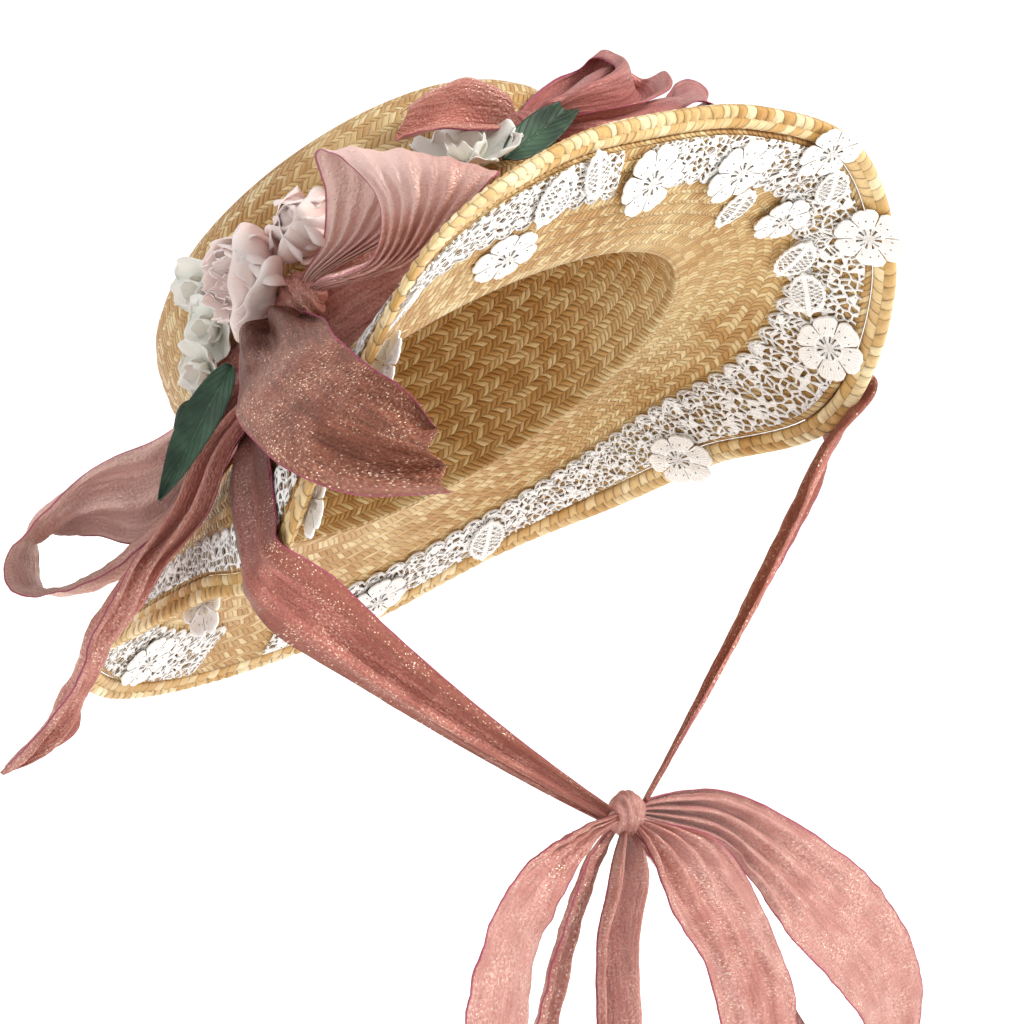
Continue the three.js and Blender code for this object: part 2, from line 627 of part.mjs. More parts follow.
// A ribbon between two edges, with its middle swelling out of the plane between them
function ribbon(seat, rows, swell = 0.04) {
  const edges = rows.map(({ a, b }) => [
    atSeat(seat, a, RIBBON_WIDTH),
    atSeat(seat, b, RIBBON_WIDTH),
  ]);
  const grid = edges.map(([a, b], i) => {
    const before = edges[Math.max(i - 1, 0)];
    const after = edges[Math.min(i + 1, edges.length - 1)];
    const along = after[0].clone().add(after[1]).sub(before[0]).sub(before[1]);
    const across = b.clone().sub(a);
    const normal = along.cross(across).normalize();
    const middle = a.clone().add(b).multiplyScalar(0.5);
    return [a, middle.addScaledVector(normal, swell * across.length()), b];
  });
  return sheet(grid, RIBBON_WALL);
}

// A gathered knot, longer one way than the other
function knot(seat, radius, stretch, centre) {
  const ball = new THREE.SphereGeometry(radius, 8, 5);
  ball.scale(stretch.along, stretch.up, stretch.out);
  const turn = new THREE.Matrix4().makeBasis(seat.along, seat.up, seat.out);
  ball.applyMatrix4(turn);
  const place = atSeat(seat, centre, radius);
  ball.translate(place.x, place.y, place.z);
  const position = ball.attributes.position;
  const points = Array.from({ length: position.count }, (_, i) =>
    vec(position.getX(i), position.getY(i), position.getZ(i)),
  );
  const index = ball.index.array;
  const faces = [];
  for (let i = 0; i < index.length; i += 3) faces.push([index[i], index[i + 1], index[i + 2]]);
  return closedGeometry(points, faces);
}

const sideSeat = crownSeat(SIDE_SEAT);
const topSeat = crownSeat(TOP_SEAT);
const chinSeat = { origin: CHIN_KNOT, along: LEFT, up: vec(0, 0, 1), out: vec(0, -1, 0) };

add("side_knot", knot(sideSeat, SIDE_KNOT_RADIUS, { along: 1, up: 1, out: 0.7 }, [0, 0, 0.68]), RIBBON);
add("side_front_tail", ribbon(sideSeat, SIDE_FRONT_TAIL, -0.06), RIBBON);
add("side_fan_loop", ribbon(sideSeat, SIDE_FAN_LOOP), RIBBON);
add("side_back_loop", ribbon(sideSeat, SIDE_BACK_LOOP), RIBBON);
add("side_back_tail", ribbon(sideSeat, SIDE_BACK_TAIL), RIBBON);
add("top_knot", knot(topSeat, TOP_KNOT_RADIUS, { along: 1.15, up: 1, out: 0.7 }, [0, 0, 0.8]), RIBBON);
add("top_back_loop", ribbon(topSeat, TOP_BACK_LOOP), RIBBON);
add("top_upright_loop", ribbon(topSeat, TOP_UPRIGHT_LOOP), RIBBON);
add("top_front_loop", ribbon(topSeat, TOP_FRONT_LOOP), RIBBON);

// A strap: from the crown's band over the brim, folded round the rim, and to the chin knot
function strap(sign) {
  const angle = sign * STRAP.angle;
  const half = (width) => (RIBBON_WIDTH * width) / 2;
  const spread = (across) => half(STRAP.width) / onBrim(angle, across).length() / radians(1);
  const overBrim = [0.12, 0.4, 0.7, 0.98].map((across) => {
    const lift = -2 * EDGING_GAP - LACE_WALL - RIBBON_WALL;
    const turn = spread(across);
    return [
      besideBrim(angle - turn, across, lift),
      besideBrim(angle, across, lift),
      besideBrim(angle + turn, across, lift),
    ];
  });
  const rim = RIM_WIDTH + GAP + 1.4;
  const overRim = [-1, 0, 1].map((side) => {
    const turn = side * spread(1);
    const edge = besideBrim(angle + turn, 1, -RIM_THICKNESS / 2 - RIBBON_WALL);
    const outward = onBrim(angle + turn, 1).sub(onBrim(angle + turn, 0.97)).normalize();
    return edge.addScaledVector(outward, rim);
  });
  const start = overRim[1];
  const end = CHIN_KNOT.clone().add(vec(-sign * CHIN_KNOT_RADIUS * 1.05, 0, 2));
  const run = end.clone().sub(start);
  const across = run.clone().cross(vec(-sign, -1, 0)).normalize().multiplyScalar(sign);
  const down = [0.12, 0.3, 0.5, 0.7, 0.88, 1].map((share) => {
    const width = half(THREE.MathUtils.lerp(STRAP.foldedWidth, STRAP.knotWidth, share ** 0.8));
    const sag = 4 * share * (1 - share) * -4;
    const centre = start.clone().addScaledVector(run, share).add(vec(0, 0, sag));
    return [-1, 0, 1].map((side) => centre.clone().addScaledVector(across, side * width));
  });
  return sheet([...overBrim, overRim, ...down], RIBBON_WALL);
}
add("chin_strap_right", strap(1), RIBBON);
add("chin_strap_left", strap(-1), RIBBON);

add("chin_knot", knot(chinSeat, CHIN_KNOT_RADIUS, { along: 0.97, up: 1, out: 0.7 }, [0, 0, 0]), RIBBON);
add("chin_right_loop", ribbon(chinSeat, CHIN_RIGHT_LOOP), RIBBON);
add("chin_left_loop", ribbon(chinSeat, CHIN_LEFT_LOOP), RIBBON);
add("chin_centre_tail", ribbon(chinSeat, CHIN_CENTRE_TAIL), RIBBON);
add("chin_left_tail", ribbon(chinSeat, CHIN_LEFT_TAIL), RIBBON);

// Silk flowers: cups with lobed edges, one inside another, round a heart
function cup(seat, radius, { petals, size, rise, notch }) {
  const side = (thickness) =>
    [0, 0.4, 0.75, 1].map((share) =>
      around(petals * 4).map((angle) => {
        const lobe = Math.abs(Math.cos(radians((angle * petals) / 2)));
        const reach = radius * size * share * (1 - notch * (1 - lobe) * share);
        const turn = radians(angle);
        return seat.origin
          .clone()
          .addScaledVector(seat.along, reach * Math.cos(turn))
          .addScaledVector(seat.up, reach * Math.sin(turn))
          .addScaledVector(seat.out, radius * rise * share * share + thickness);
      }),
    );
  return wallBetween(side(PETAL_WALL), side(0), true);
}

function heart(seat, radius) {
  return knot(seat, radius, { along: 1, up: 1, out: 1 }, [0, 0, 0.6]);
}

function leaf(seat, from, to, wideness, lift) {
  const width = wideness * RIBBON_WIDTH;
  const start = atSeat(seat, from, RIBBON_WIDTH);
  const run = atSeat(seat, to, RIBBON_WIDTH).sub(start);
  const across = run.clone().cross(seat.out).normalize();
  const rows = [
    { along: 0, wide: 0.08 },
    { along: 0.25, wide: 0.8 },
    { along: 0.55, wide: 0.9 },
    { along: 0.8, wide: 0.5 },
    { along: 1, wide: 0.04 },
  ];
  const grid = rows.map(({ along, wide }) =>
    [-1, 0, 1].map((side) =>
      start
        .clone()
        .addScaledVector(run, along)
        .addScaledVector(across, (side * wide * width) / 2)
        .addScaledVector(seat.out, lift * Math.sin(Math.PI * along) + 2 * Math.abs(side)),
    ),
  );
  return sheet(grid, LEAF_WALL);
}

const OUTER_PETALS = { petals: 5, size: 1, rise: 0.4, notch: 0.3 };
const INNER_PETALS = { petals: 4, size: 0.62, rise: 0.62, notch: 0.25 };
const BUD_PETALS = { petals: 5, size: 1, rise: 0.5, notch: 0.2 };
const BLOSSOM_PETALS = { petals: 4, size: 1, rise: 0.25, notch: 0.5 };
const HEART_SHARE = 0.26; // a heart's radius, as a share of the flower's
const ROSE_SEAT = crownSeat({ angle: -74, height: 49, out: 2 });
const BUD_SEAT = crownSeat({ angle: -53, height: 49, out: 2 });
const BLOSSOM_SEATS = [
  { angle: -89, height: 55, out: 1 },
  { angle: -89, height: 39, out: 2 },
  { angle: -90, height: 24, out: 1 },
];
const TOP_BLOSSOM_SEAT = { angle: -21, height: 46, out: 1 };

function blossom(place) {
  return cup(crownSeat(place), BLOSSOM_RADIUS, BLOSSOM_PETALS);
}

const rosePetals = [OUTER_PETALS, INNER_PETALS].map((ring) => cup(ROSE_SEAT, ROSE_RADIUS, ring));
add("rose", joined([heart(ROSE_SEAT, ROSE_RADIUS * HEART_SHARE), ...rosePetals]), ROSE);
const budPetals = cup(BUD_SEAT, BUD_RADIUS, BUD_PETALS);
add("rosebud", joined([heart(BUD_SEAT, BUD_RADIUS * HEART_SHARE), budPetals]), ROSE);
add("white_blossoms", joined(BLOSSOM_SEATS.map(blossom)), WHITE);
add("top_blossom", blossom(TOP_BLOSSOM_SEAT), WHITE);
add("long_leaf", leaf(sideSeat, [-0.66, -0.2, 0.38], [-1.6, -0.82, 0.61], 0.28, 1), GREEN);
add("small_leaf", leaf(sideSeat, [-1.25, -0.12, -0.32], [-1.64, -0.06, -0.52], 0.26, 1), GREEN);
add("top_leaf", leaf(topSeat, [-0.1, -0.28, 0.3], [0.42, 0.2, 0.36], 0.3, 1), GREEN);

export default bonnet;
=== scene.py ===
# %% [markdown]
# # A straw bonnet with lace, silk flowers and organza ribbon
#
# The bonnet is a straw hat that is worn tilted far back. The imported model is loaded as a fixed
# frame, and each cell replaces some of its plain pieces with a detailed one in the same place.

# %% Load the frame
import math
from functools import partialmethod
import bmesh
import bpy
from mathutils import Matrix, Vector, noise


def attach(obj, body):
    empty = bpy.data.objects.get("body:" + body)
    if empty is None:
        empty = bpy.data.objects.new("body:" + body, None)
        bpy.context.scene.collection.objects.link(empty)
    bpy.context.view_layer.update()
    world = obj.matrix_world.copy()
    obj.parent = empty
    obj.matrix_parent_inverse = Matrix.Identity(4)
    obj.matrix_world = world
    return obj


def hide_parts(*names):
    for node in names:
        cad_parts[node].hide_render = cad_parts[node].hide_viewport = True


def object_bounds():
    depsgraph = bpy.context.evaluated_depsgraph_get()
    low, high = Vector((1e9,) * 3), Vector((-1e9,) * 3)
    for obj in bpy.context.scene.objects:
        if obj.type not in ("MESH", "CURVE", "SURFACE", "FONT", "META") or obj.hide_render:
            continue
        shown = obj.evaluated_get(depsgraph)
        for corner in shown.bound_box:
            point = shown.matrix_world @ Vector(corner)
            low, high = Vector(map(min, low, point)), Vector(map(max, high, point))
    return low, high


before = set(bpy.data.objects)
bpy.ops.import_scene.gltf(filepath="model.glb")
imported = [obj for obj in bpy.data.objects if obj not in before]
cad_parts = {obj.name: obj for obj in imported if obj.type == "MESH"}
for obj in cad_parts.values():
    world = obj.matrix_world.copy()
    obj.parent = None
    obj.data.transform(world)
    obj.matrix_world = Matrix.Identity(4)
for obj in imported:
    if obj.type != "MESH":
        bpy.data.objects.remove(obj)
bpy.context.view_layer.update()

print("nodes in the frame:", len(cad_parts))

# %% [markdown]
# A studio picture of a hat is taken from far off with a long lens, so that the brim isn't distorted.
# The camera looks at the bonnet's right side, a little from above. It is set first, because every
# later choice is judged through it.

# %% Camera
MM = 0.001
VIEW_TURN = math.radians(-46)
VIEW_RISE = math.radians(15)
VIEW_DISTANCE = 1.6
PIXELS_PER_MM = 2.74
IMAGE_SIZE = 1024
ORIGIN_PIXEL = (453, 396)  # where the crown's opening falls in the picture

back = Vector((
    math.sin(VIEW_TURN) * math.cos(VIEW_RISE),
    -math.cos(VIEW_TURN) * math.cos(VIEW_RISE),
    math.sin(VIEW_RISE),
))
right = Vector((math.cos(VIEW_TURN), math.sin(VIEW_TURN), 0))
upward = back.cross(right)
aside = (IMAGE_SIZE / 2 - ORIGIN_PIXEL[0]) / PIXELS_PER_MM * MM
above = (ORIGIN_PIXEL[1] - IMAGE_SIZE / 2) / PIXELS_PER_MM * MM

lens = bpy.data.cameras.new("camera")
lens.sensor_width = 36
lens.lens = 36 * PIXELS_PER_MM * VIEW_DISTANCE / MM / IMAGE_SIZE
camera = bpy.data.objects.new("camera", lens)
camera.location = right * aside + upward * above + back * VIEW_DISTANCE
camera.rotation_euler = back.to_track_quat("Z", "Y").to_euler()
bpy.context.scene.collection.objects.link(camera)
bpy.context.scene.camera = camera
print("lens in mm:", round(lens.lens, 1))

# %% [markdown]
# A milliner works from the head opening, so the hat has directions of its own: forwards, to the
# wearer's left, and up the crown. All of them lean back together. Every place on the hat is an
# angle from the front, a distance from the crown's axis and a height above the opening.

# %% The hat's own directions
TILT = math.radians(43)
FORWARD = Vector((0, -math.cos(TILT), math.sin(TILT)))
LEFT = Vector((1, 0, 0))
CROWNWARD = Vector((0, math.sin(TILT), math.cos(TILT)))
TURN = 2 * math.pi


def outwards(angle):
    turn = math.radians(angle)
    return FORWARD * math.cos(turn) + LEFT * math.sin(turn)


def on_hat(angle, radius, height):
    return outwards(angle) * radius + CROWNWARD * height


def smooth(rows, value):
    """A smooth curve through (place, value) pairs, flat at both ends."""
    last = len(rows) - 1
    x = min(max(value, rows[0][0]), rows[last][0])
    i = 0
    while i < last - 1 and x > rows[i + 1][0]:
        i += 1

    def slope(k):
        if k <= 0 or k >= last:
            return 0
        return (rows[k + 1][1] - rows[k - 1][1]) / (rows[k + 1][0] - rows[k - 1][0])

    span = rows[i + 1][0] - rows[i][0]
    t = (x - rows[i][0]) / span
    rest = 1 - t
    start = rows[i][1] * (1 + 2 * t) * rest * rest + slope(i) * span * t * rest * rest
    return start + rows[i + 1][1] * (3 - 2 * t) * t * t - slope(i + 1) * span * rest * t * t


def spline(points, share):
    """A point on the curve through evenly spaced points."""
    last = len(points) - 1
    place = min(max(share, 0), 1) * last
    i = min(int(place), last - 1)
    t = place - i
    p = [points[min(max(i + k, 0), last)] for k in (-1, 0, 1, 2)]
    bent = (p[0] * 2 - p[1] * 5 + p[2] * 4 - p[3]) * t * t + (p[1] * 3 - p[0] - p[2] * 3 + p[3]) * t ** 3
    return (p[1] * 2 + (p[2] - p[0]) * t + bent) / 2


# %% [markdown]
# Straw braid, lace and ribbon are all strips. Each starts as a flat grid with a UV map, like a strip
# on the cutting table, and is then laid into place by a rule that says where each share of its
# width and length goes. The UV map stays with the strip, so a weave follows every fold.

# %% Helpers that lay a strip into place
def lay(mesh, rows, columns, place, pattern=None):
    """A grid whose points go where place(u, v) says. pattern(u, v, middle) gives its UVs."""
    uv = mesh.loops.layers.uv.verify()
    made = bmesh.ops.create_grid(mesh, x_segments=columns, y_segments=rows, size=0.5, calc_uvs=False)
    shares = {vert: (vert.co.x + 0.5, vert.co.y + 0.5) for vert in made["verts"]}
    for vert, (u, v) in shares.items():
        for face in vert.link_faces:
            middle = sum(shares[corner][1] for corner in face.verts) / len(face.verts)
            for loop in face.loops:
                if loop.vert is vert:
                    loop[uv].uv = pattern(u, v, middle) if pattern else (u, v)
    for vert, (u, v) in shares.items():
        vert.co = place(u, v)
    return made["verts"]


def finish_piece(mesh, name, material, slot, nodes, wall=0.0, offset=0.0, closed=False):
    """Turns the mesh into a named piece that stands for CAD nodes."""
    bmesh.ops.remove_doubles(mesh, verts=mesh.verts, dist=2e-6)
    if closed:
        bmesh.ops.recalc_face_normals(mesh, faces=mesh.faces)
    data = bpy.data.meshes.new(name)
    mesh.to_mesh(data)
    mesh.free()
    for polygon in data.polygons:
        polygon.use_smooth = True
    piece = bpy.data.objects.new(name, data)
    bpy.context.scene.collection.objects.link(piece)
    data.materials.append(material)
    if wall:
        thicken = piece.modifiers.new("wall", "SOLIDIFY")
        thicken.thickness = wall
        thicken.offset = offset
    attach(piece, "root")
    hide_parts(*nodes)
    print(name, "faces:", len(data.polygons))
    return piece


def strip_piece(name, rows, columns, place, pattern, *finishing, **more):
    """A strip that is laid into place and finished in one go."""
    mesh = bmesh.new()
    lay(mesh, rows, columns, place, pattern)
    return finish_piece(mesh, name, *finishing, **more)


# %% [markdown]
# Most of the finishes are sums: where a strand lies, how high it stands, how dark its edge is.
# A small class wraps a shader socket, so that such a sum is written as plain Python.

# %% Sums on shader sockets
class Wire:
    def __init__(self, finish, socket):
        self.finish, self.socket = finish, socket

    def math(self, operation, *others, clamp=False):
        settings = {"operation": operation, "use_clamp": clamp}
        return self.finish.node("ShaderNodeMath", settings, dict(enumerate((self, *others))))

    __add__ = __radd__ = partialmethod(math, "ADD")
    __sub__ = partialmethod(math, "SUBTRACT")
    __mul__ = __rmul__ = partialmethod(math, "MULTIPLY")
    __truediv__ = partialmethod(math, "DIVIDE")
    __pow__ = partialmethod(math, "POWER")
    __gt__ = partialmethod(math, "GREATER_THAN")
    __lt__ = partialmethod(math, "LESS_THAN")
    __abs__ = partialmethod(math, "ABSOLUTE")
    floor = partialmethod(math, "FLOOR")
    part = partialmethod(math, "FRACT")
    sine = partialmethod(math, "SINE")
    cosine = partialmethod(math, "COSINE")
    low = partialmethod(math, "MINIMUM")
    high = partialmethod(math, "MAXIMUM")
    held = partialmethod(math, "ADD", 0, clamp=True)

    def __rsub__(self, other):
        return self * -1 + other

    def step(self, start, end):
        """0 below start, 1 above end, and a slope between."""
        return ((self - start) / (end - start)).held()


def shade(text):
    """A linear colour from its screen colour, written as six hex digits."""
    parts = [int(text[i:i + 2], 16) / 255 for i in (0, 2, 4)]
    linear = [c / 12.92 if c <= 0.04045 else ((c + 0.055) / 1.055) ** 2.4 for c in parts]
    return (*linear, 1)


class Finish:
    """A material, with its shader's own values set first."""

    def __init__(self, name, **values):
        self.material = bpy.data.materials.new(name)
        self.material.use_nodes = True
        self.tree = self.material.node_tree
        self.shader = self.tree.nodes["Principled BSDF"]
        self.feed(**values)

    def feed(self, **values):
        for key, value in values.items():
            self.plug(self.shader.inputs[key.replace("_", " ")], value)

    def plug(self, socket, value):
        if isinstance(value, Wire):
            self.tree.links.new(value.socket, socket)
        else:
            socket.default_value = value

    def node(self, kind, settings=None, values=None, out=0):
        made = self.tree.nodes.new(kind)
        for key, value in (settings or {}).items():
            setattr(made, key, value)
        for key, value in (values or {}).items():
            self.plug(made.inputs[key], value)
        return Wire(self, made.outputs[out])

    def mix(self, factor, first, second):
        return self.node("ShaderNodeMix", {"data_type": "RGBA"}, {0: factor, 6: first, 7: second}, 2)

    def bump(self, height, depth, strength=1.0):
        return self.node("ShaderNodeBump", {}, {"Height": height, "Distance": depth, "Strength": strength})

    def map(self):
        """The two shares of the piece's own UV map."""
        split = {"Vector": self.node("ShaderNodeUVMap")}
        return [self.node("ShaderNodeSeparateXYZ", {}, split, out) for out in (0, 1)]

    def join(self, x, y, z=0.0):
        return self.node("ShaderNodeCombineXYZ", {}, {"X": x, "Y": y, "Z": z})

    def noise(self, vector, scale, detail):
        return self.node("ShaderNodeTexNoise", {}, {"Vector": vector, "Scale": scale, "Detail": detail})

    def object_place(self):
        return self.node("ShaderNodeTexCoord", {}, {}, 3)


# %% [markdown]
# Straw braid is plaited from flat straws that cross at an angle, so each row shows two ranks of
# slanted strands that meet in a herringbone. Every straw has its own colour, from cream to brown,
# and a faint grain along it. The pattern counts plaits along U and rows along V.

# %% Straw
STRAW_SHADOW = "5c3c17"


def straw_finish(name, pale, middle, dark, slant):
    finish = Finish(name, Sheen_Weight=0.08, Specular_IOR_Level=0.5)
    along, across = finish.map()
    row = across.floor()
    aside = across.part() - 0.5
    side = aside > 0
    wander = finish.noise(finish.join(along * 0.35, row * 3.7), 1.0, 1.0) - 0.5
    phase = along + abs(aside) * slant + side * 0.5 + row * 0.37 + wander * 1.4
    strand = phase.floor()
    inside = phase.part()
    body = (inside * math.pi).sine() ** 0.5
    crest = (abs(aside) * TURN).sine().high(0) ** 0.4
    height = body * (0.4 + crest * 0.6)
    key = finish.join(strand * 0.71, row * 1.37, side * 3.1)
    tint = finish.node("ShaderNodeTexWhiteNoise", {}, {"Vector": key}, 0)
    grain = finish.noise(finish.join(inside * 9 + strand, across * 5, tint * 7), 1.0, 3.0)
    patch = finish.noise(finish.object_place(), 16.0, 3.0)
    colour = finish.mix((tint * 0.6 + patch * 0.8 - 0.2).held(), shade(dark), shade(middle))
    colour = finish.mix((tint.step(0.5, 1) * 0.7 + patch.step(0.5, 0.7) * 0.35).held(), colour, shade(pale))
    colour = finish.mix(grain.step(0.45, 0.75) * 0.35, colour, shade(dark))
    shadow = (1 - height).step(0.5, 1)
    colour = finish.mix(shadow * 0.75, colour, shade(STRAW_SHADOW))
    finish.feed(
        Base_Color=colour,
        Roughness=0.58 - tint * 0.22,
        Normal=finish.bump(height + grain * 0.15, 0.9 * MM, 0.9),
    )
    return finish.material


STRAW = straw_finish("straw_braid", "f3dea8", "dcb068", "ad7a3a", 2.2)
RIM_STRAW = straw_finish("straw_rim", "fbeec6", "e9c47c", "bb8a45", 0.9)
print("straw finishes:", STRAW.name, RIM_STRAW.name)

# %% [markdown]
# The crown is one long braid sewn round and round, each turn lapping the one before. It could be
# a plain dome with a picture of rows on it, but its outline would then be too clean, so the
# profile itself steps at each row.

# %% Crown
CROWN_RADIUS = 95 * MM
CROWN_HEIGHT = 80 * MM
CROWN_LEAN = 8 * MM
BRAID_WIDTH = 6.6 * MM
PLAIT_LENGTH = 2.6 * MM
STRAW_WALL = 1.8 * MM
FACES_PER_ROW = 4
CROWN_TUCK = 2.2 * MM
CROWN_PROFILE = (
    (1, 0), (0.99, 0.18), (0.975, 0.42), (0.96, 0.66), (0.93, 0.84),
    (0.87, 0.94), (0.76, 1), (0.4, 1.02), (0, 1.03),
)


def profile_at(share):
    """The crown's profile by length along it: radius and height."""
    points = [Vector((r * CROWN_RADIUS, h * CROWN_HEIGHT, 0)) for r, h in CROWN_PROFILE]
    lengths = [(b - a).length for a, b in zip(points, points[1:])]
    left = share * sum(lengths)
    i = 0
    while i < len(lengths) - 1 and left > lengths[i]:
        left -= lengths[i]
        i += 1
    return spline(points, (i + left / lengths[i]) / len(lengths))


PROFILE_LENGTH = sum((profile_at((i + 1) / 60) - profile_at(i / 60)).length for i in range(60))
CROWN_ROWS = round(PROFILE_LENGTH / BRAID_WIDTH)


def lap(part):
    """How far a row of braid stands out across its own width, where the next row laps it."""
    return (0.35 * math.sin(math.pi * part) ** 0.5 + 0.5 * part - 0.6) * MM


def crown_place(u, v):
    here = profile_at(v)
    ahead = profile_at(min(v + 0.01, 1)) - profile_at(max(v - 0.01, 0))
    out = Vector((ahead.y, -ahead.x, 0)).normalized() * lap((v * CROWN_ROWS) % 1)
    radius = max(here.x + out.x * min(1, here.x / 0.01), 0)
    tuck = CROWN_TUCK * max(1 - 2 * v * CROWN_ROWS, 0)  # its edge laps the brim
    lean = CROWN_LEAN * math.cos(TURN * u) * here.x / CROWN_RADIUS * here.y / CROWN_HEIGHT
    return on_hat(360 * u, radius, here.y + out.y + lean - tuck)


def braid_pattern(u, v, middle, rows, around):
    """Whole plaits round each row, and a share of the row that never strays into the next one."""
    row = int(middle * rows)
    plaits = max(round(around((row + 0.5) / rows) / PLAIT_LENGTH), 3)
    return (u * plaits, min(max(v * rows, row + 0.001), row + 0.999))


def crown_pattern(u, v, middle):
    return braid_pattern(u, v, middle, CROWN_ROWS, lambda share: TURN * profile_at(share).x)


strip_piece("straw_crown", CROWN_ROWS * FACES_PER_ROW, 150, crown_place, crown_pattern,
            STRAW, "straw", ["crown"], STRAW_WALL, -1, True)

# %% [markdown]
# The brim is sewn from the same braid, with its rows parallel to the rim. It flares up in front,
# is drawn down by the ribbon at both sides, and flares again behind. Its shape is a short table
# of how far it reaches and how much it rises at some angles, with a smooth curve between.

# %% Brim
GAP = 0.3 * MM
BRIM_WIDTH = 57 * MM
BRIM_DROP = 52 * MM
RIM_WIDTH = 9 * MM
RIM_THICKNESS = 4.4 * MM
BRIM_BEND = 0.55
BRIM_REACH = (
    (0, 1), (20, 1.15), (40, 1.39), (60, 1.32), (80, 1.07),
    (100, 0.82), (120, 0.98), (140, 1.34), (160, 1.61), (180, 1.72),
)
BRIM_RISE = (
    (0, 0.26), (20, 0.19), (40, -0.07), (60, -0.64), (80, -1),
    (100, -0.66), (120, -0.42), (140, -0.19), (160, -0.15), (180, -0.12),
)
BRIM_FOOT = CROWN_RADIUS + GAP


def on_brim(angle, across):
    turned = abs((angle + 180) % 360 - 180)
    reach = BRIM_WIDTH * smooth(BRIM_REACH, turned) - RIM_WIDTH - 2 * GAP
    rise = BRIM_DROP * smooth(BRIM_RISE, turned)
    bend = 2 * across * (1 - across) * BRIM_BEND + across * across
    return on_hat(angle, BRIM_FOOT + reach * bend, rise * across * across)


def brim_normal(angle, across):
    around = on_brim(angle + 1, across) - on_brim(angle - 1, across)
    along = on_brim(angle, across + 0.01) - on_brim(angle, across - 0.01)
    return along.cross(around).normalized()


def beside_brim(angle, across, depth):
    """A positive depth goes through the straw towards the inside."""
    return on_brim(angle, across) - brim_normal(angle, across) * depth


BRIM_ROWS = 11
BRIM_TUCK = 1.6 * MM


def brim_place(u, v):
    tuck = BRIM_TUCK * max(1 - v * BRIM_ROWS, 0)  # the first row is sewn under the crown's edge
    return beside_brim(360 * u, v, -lap((v * BRIM_ROWS) % 1)) - outwards(360 * u) * tuck


def brim_pattern(u, v, middle):
    around = lambda share: TURN * (CROWN_RADIUS + BRIM_WIDTH * share)
    return braid_pattern(u, v, middle, BRIM_ROWS, around)


strip_piece("straw_brim", BRIM_ROWS * FACES_PER_ROW, 200, brim_place, brim_pattern,
            STRAW, "straw", ["brim"], STRAW_WALL, 1)

# %% [markdown]
# The edge is bound with a doubled row of braid, sewn down with big stitches that pull it in. The
# strip goes round a flat loop in section, and is drawn in at every stitch.

# %% Rim braid
STITCH_PITCH = 4.8 * MM
RIM_RADIUS = 165 * MM
RIM_STITCHES = round(TURN * RIM_RADIUS / STITCH_PITCH)


def rim_place(u, v):
    angle = 360 * u
    edge = beside_brim(angle, 1, STRAW_WALL / 2)
    out = (on_brim(angle, 1) - on_brim(angle, 0.97)).normalized()
    pull = abs(math.sin(math.pi * RIM_STITCHES * u))
    turn = TURN * v
    wide = RIM_WIDTH / 2 * math.cos(turn)
    fat = RIM_THICKNESS / 2 * math.copysign(abs(math.sin(turn)) ** 0.6, math.sin(turn))
    groove = math.exp(-((wide / RIM_WIDTH) * 9) ** 2)
    fat *= (0.72 + 0.28 * pull ** 0.6) * (1 - 0.5 * groove * (1 - pull ** 2))
    return edge + out * (GAP + RIM_WIDTH / 2 + wide) + brim_normal(angle, 1) * fat


def rim_pattern(u, v, middle):
    return (u * RIM_STITCHES, v * 2)


strip_piece("straw_rim", 20, RIM_STITCHES * 4, rim_place, rim_pattern,
            RIM_STRAW, "straw", ["rim_braid"], closed=True)

# %% [markdown]
# The lace is guipure: motifs of heavy thread with holes between them. Its holes are part of the
# finish, cut by alpha from the strip's own UV map, because thousands of cut loops would be heavy.
# The edging is a net with a scalloped edge.

# %% Lace edgings
LACE_WALL = 0.6 * MM
EDGING_START = 0.6
OUTER_EDGING_START = 0.8
EDGING_GAP = 0.5 * MM
EDGING_RADIUS = 150 * MM
EDGING_SEAM = 174  # degrees from the front, where its two ends nearly meet
SCALLOP_PITCH = 9 * MM
STRAW_INSIDE = 2 * MM
LACE_MIDDLE = 0.5 * MM
LACE_RELIEF = 0.6 * MM


def lace_base(name):
    return Finish(name, Roughness=0.85, Sheen_Weight=0.3, Specular_IOR_Level=0.25)


# Painted shade on the lace's relief: the lower parts of the thread are greyer than the raised ones.
def shaded_thread_colour(finish, height):
    return finish.mix(height.step(0, 0.7), shade("e0d9d2"), shade("fdfbf8"))


def net_finish():
    finish = lace_base("lace_net")
    along, across = finish.map()
    cell = {"feature": "DISTANCE_TO_EDGE"}
    place = finish.join(along, across)
    edge = finish.node("ShaderNodeTexVoronoi", cell, {"Vector": place, "Scale": 1.0, "Randomness": 0.8}, 0)
    border = (across < 0.4) + (abs(across - 1.6) < 0.16)
    bud = finish.node("ShaderNodeTexVoronoi", {}, {"Vector": place, "Scale": 0.42}, 0) < 0.24
    solid = ((edge < 0.1) + border + bud).held()
    twist = ((along * 9).sine() * (across * 9).sine()) * 0.2
    height = (1 - edge * 4).held() + bud * 0.7 + twist
    raised = finish.bump(height, LACE_RELIEF)
    finish.feed(Base_Color=shaded_thread_colour(finish, height), Alpha=solid, Normal=raised)
    return finish.material


LACE_NET = net_finish()
NET_CELL = 3.2 * MM


def edging(name, start, end, inner, outer, depth, node):
    length = math.radians(end - start) * EDGING_RADIUS
    scallops = round(length / SCALLOP_PITCH)
    width = (outer - inner) * BRIM_WIDTH * 1.1

    def place(u, v):
        angle = start + (end - start) * u
        dip = 0.05 * (1 - abs(math.sin(math.pi * scallops * u)) ** 0.7)
        across = inner + dip + (outer - inner - dip) * v
        return beside_brim(angle, across, depth)

    def pattern(u, v, middle):
        return (u * length / NET_CELL, v * width / NET_CELL * 7 / 6)

    strip_piece(name, 8, scallops * 6, place, pattern, LACE_NET, "lace", [node], LACE_WALL)


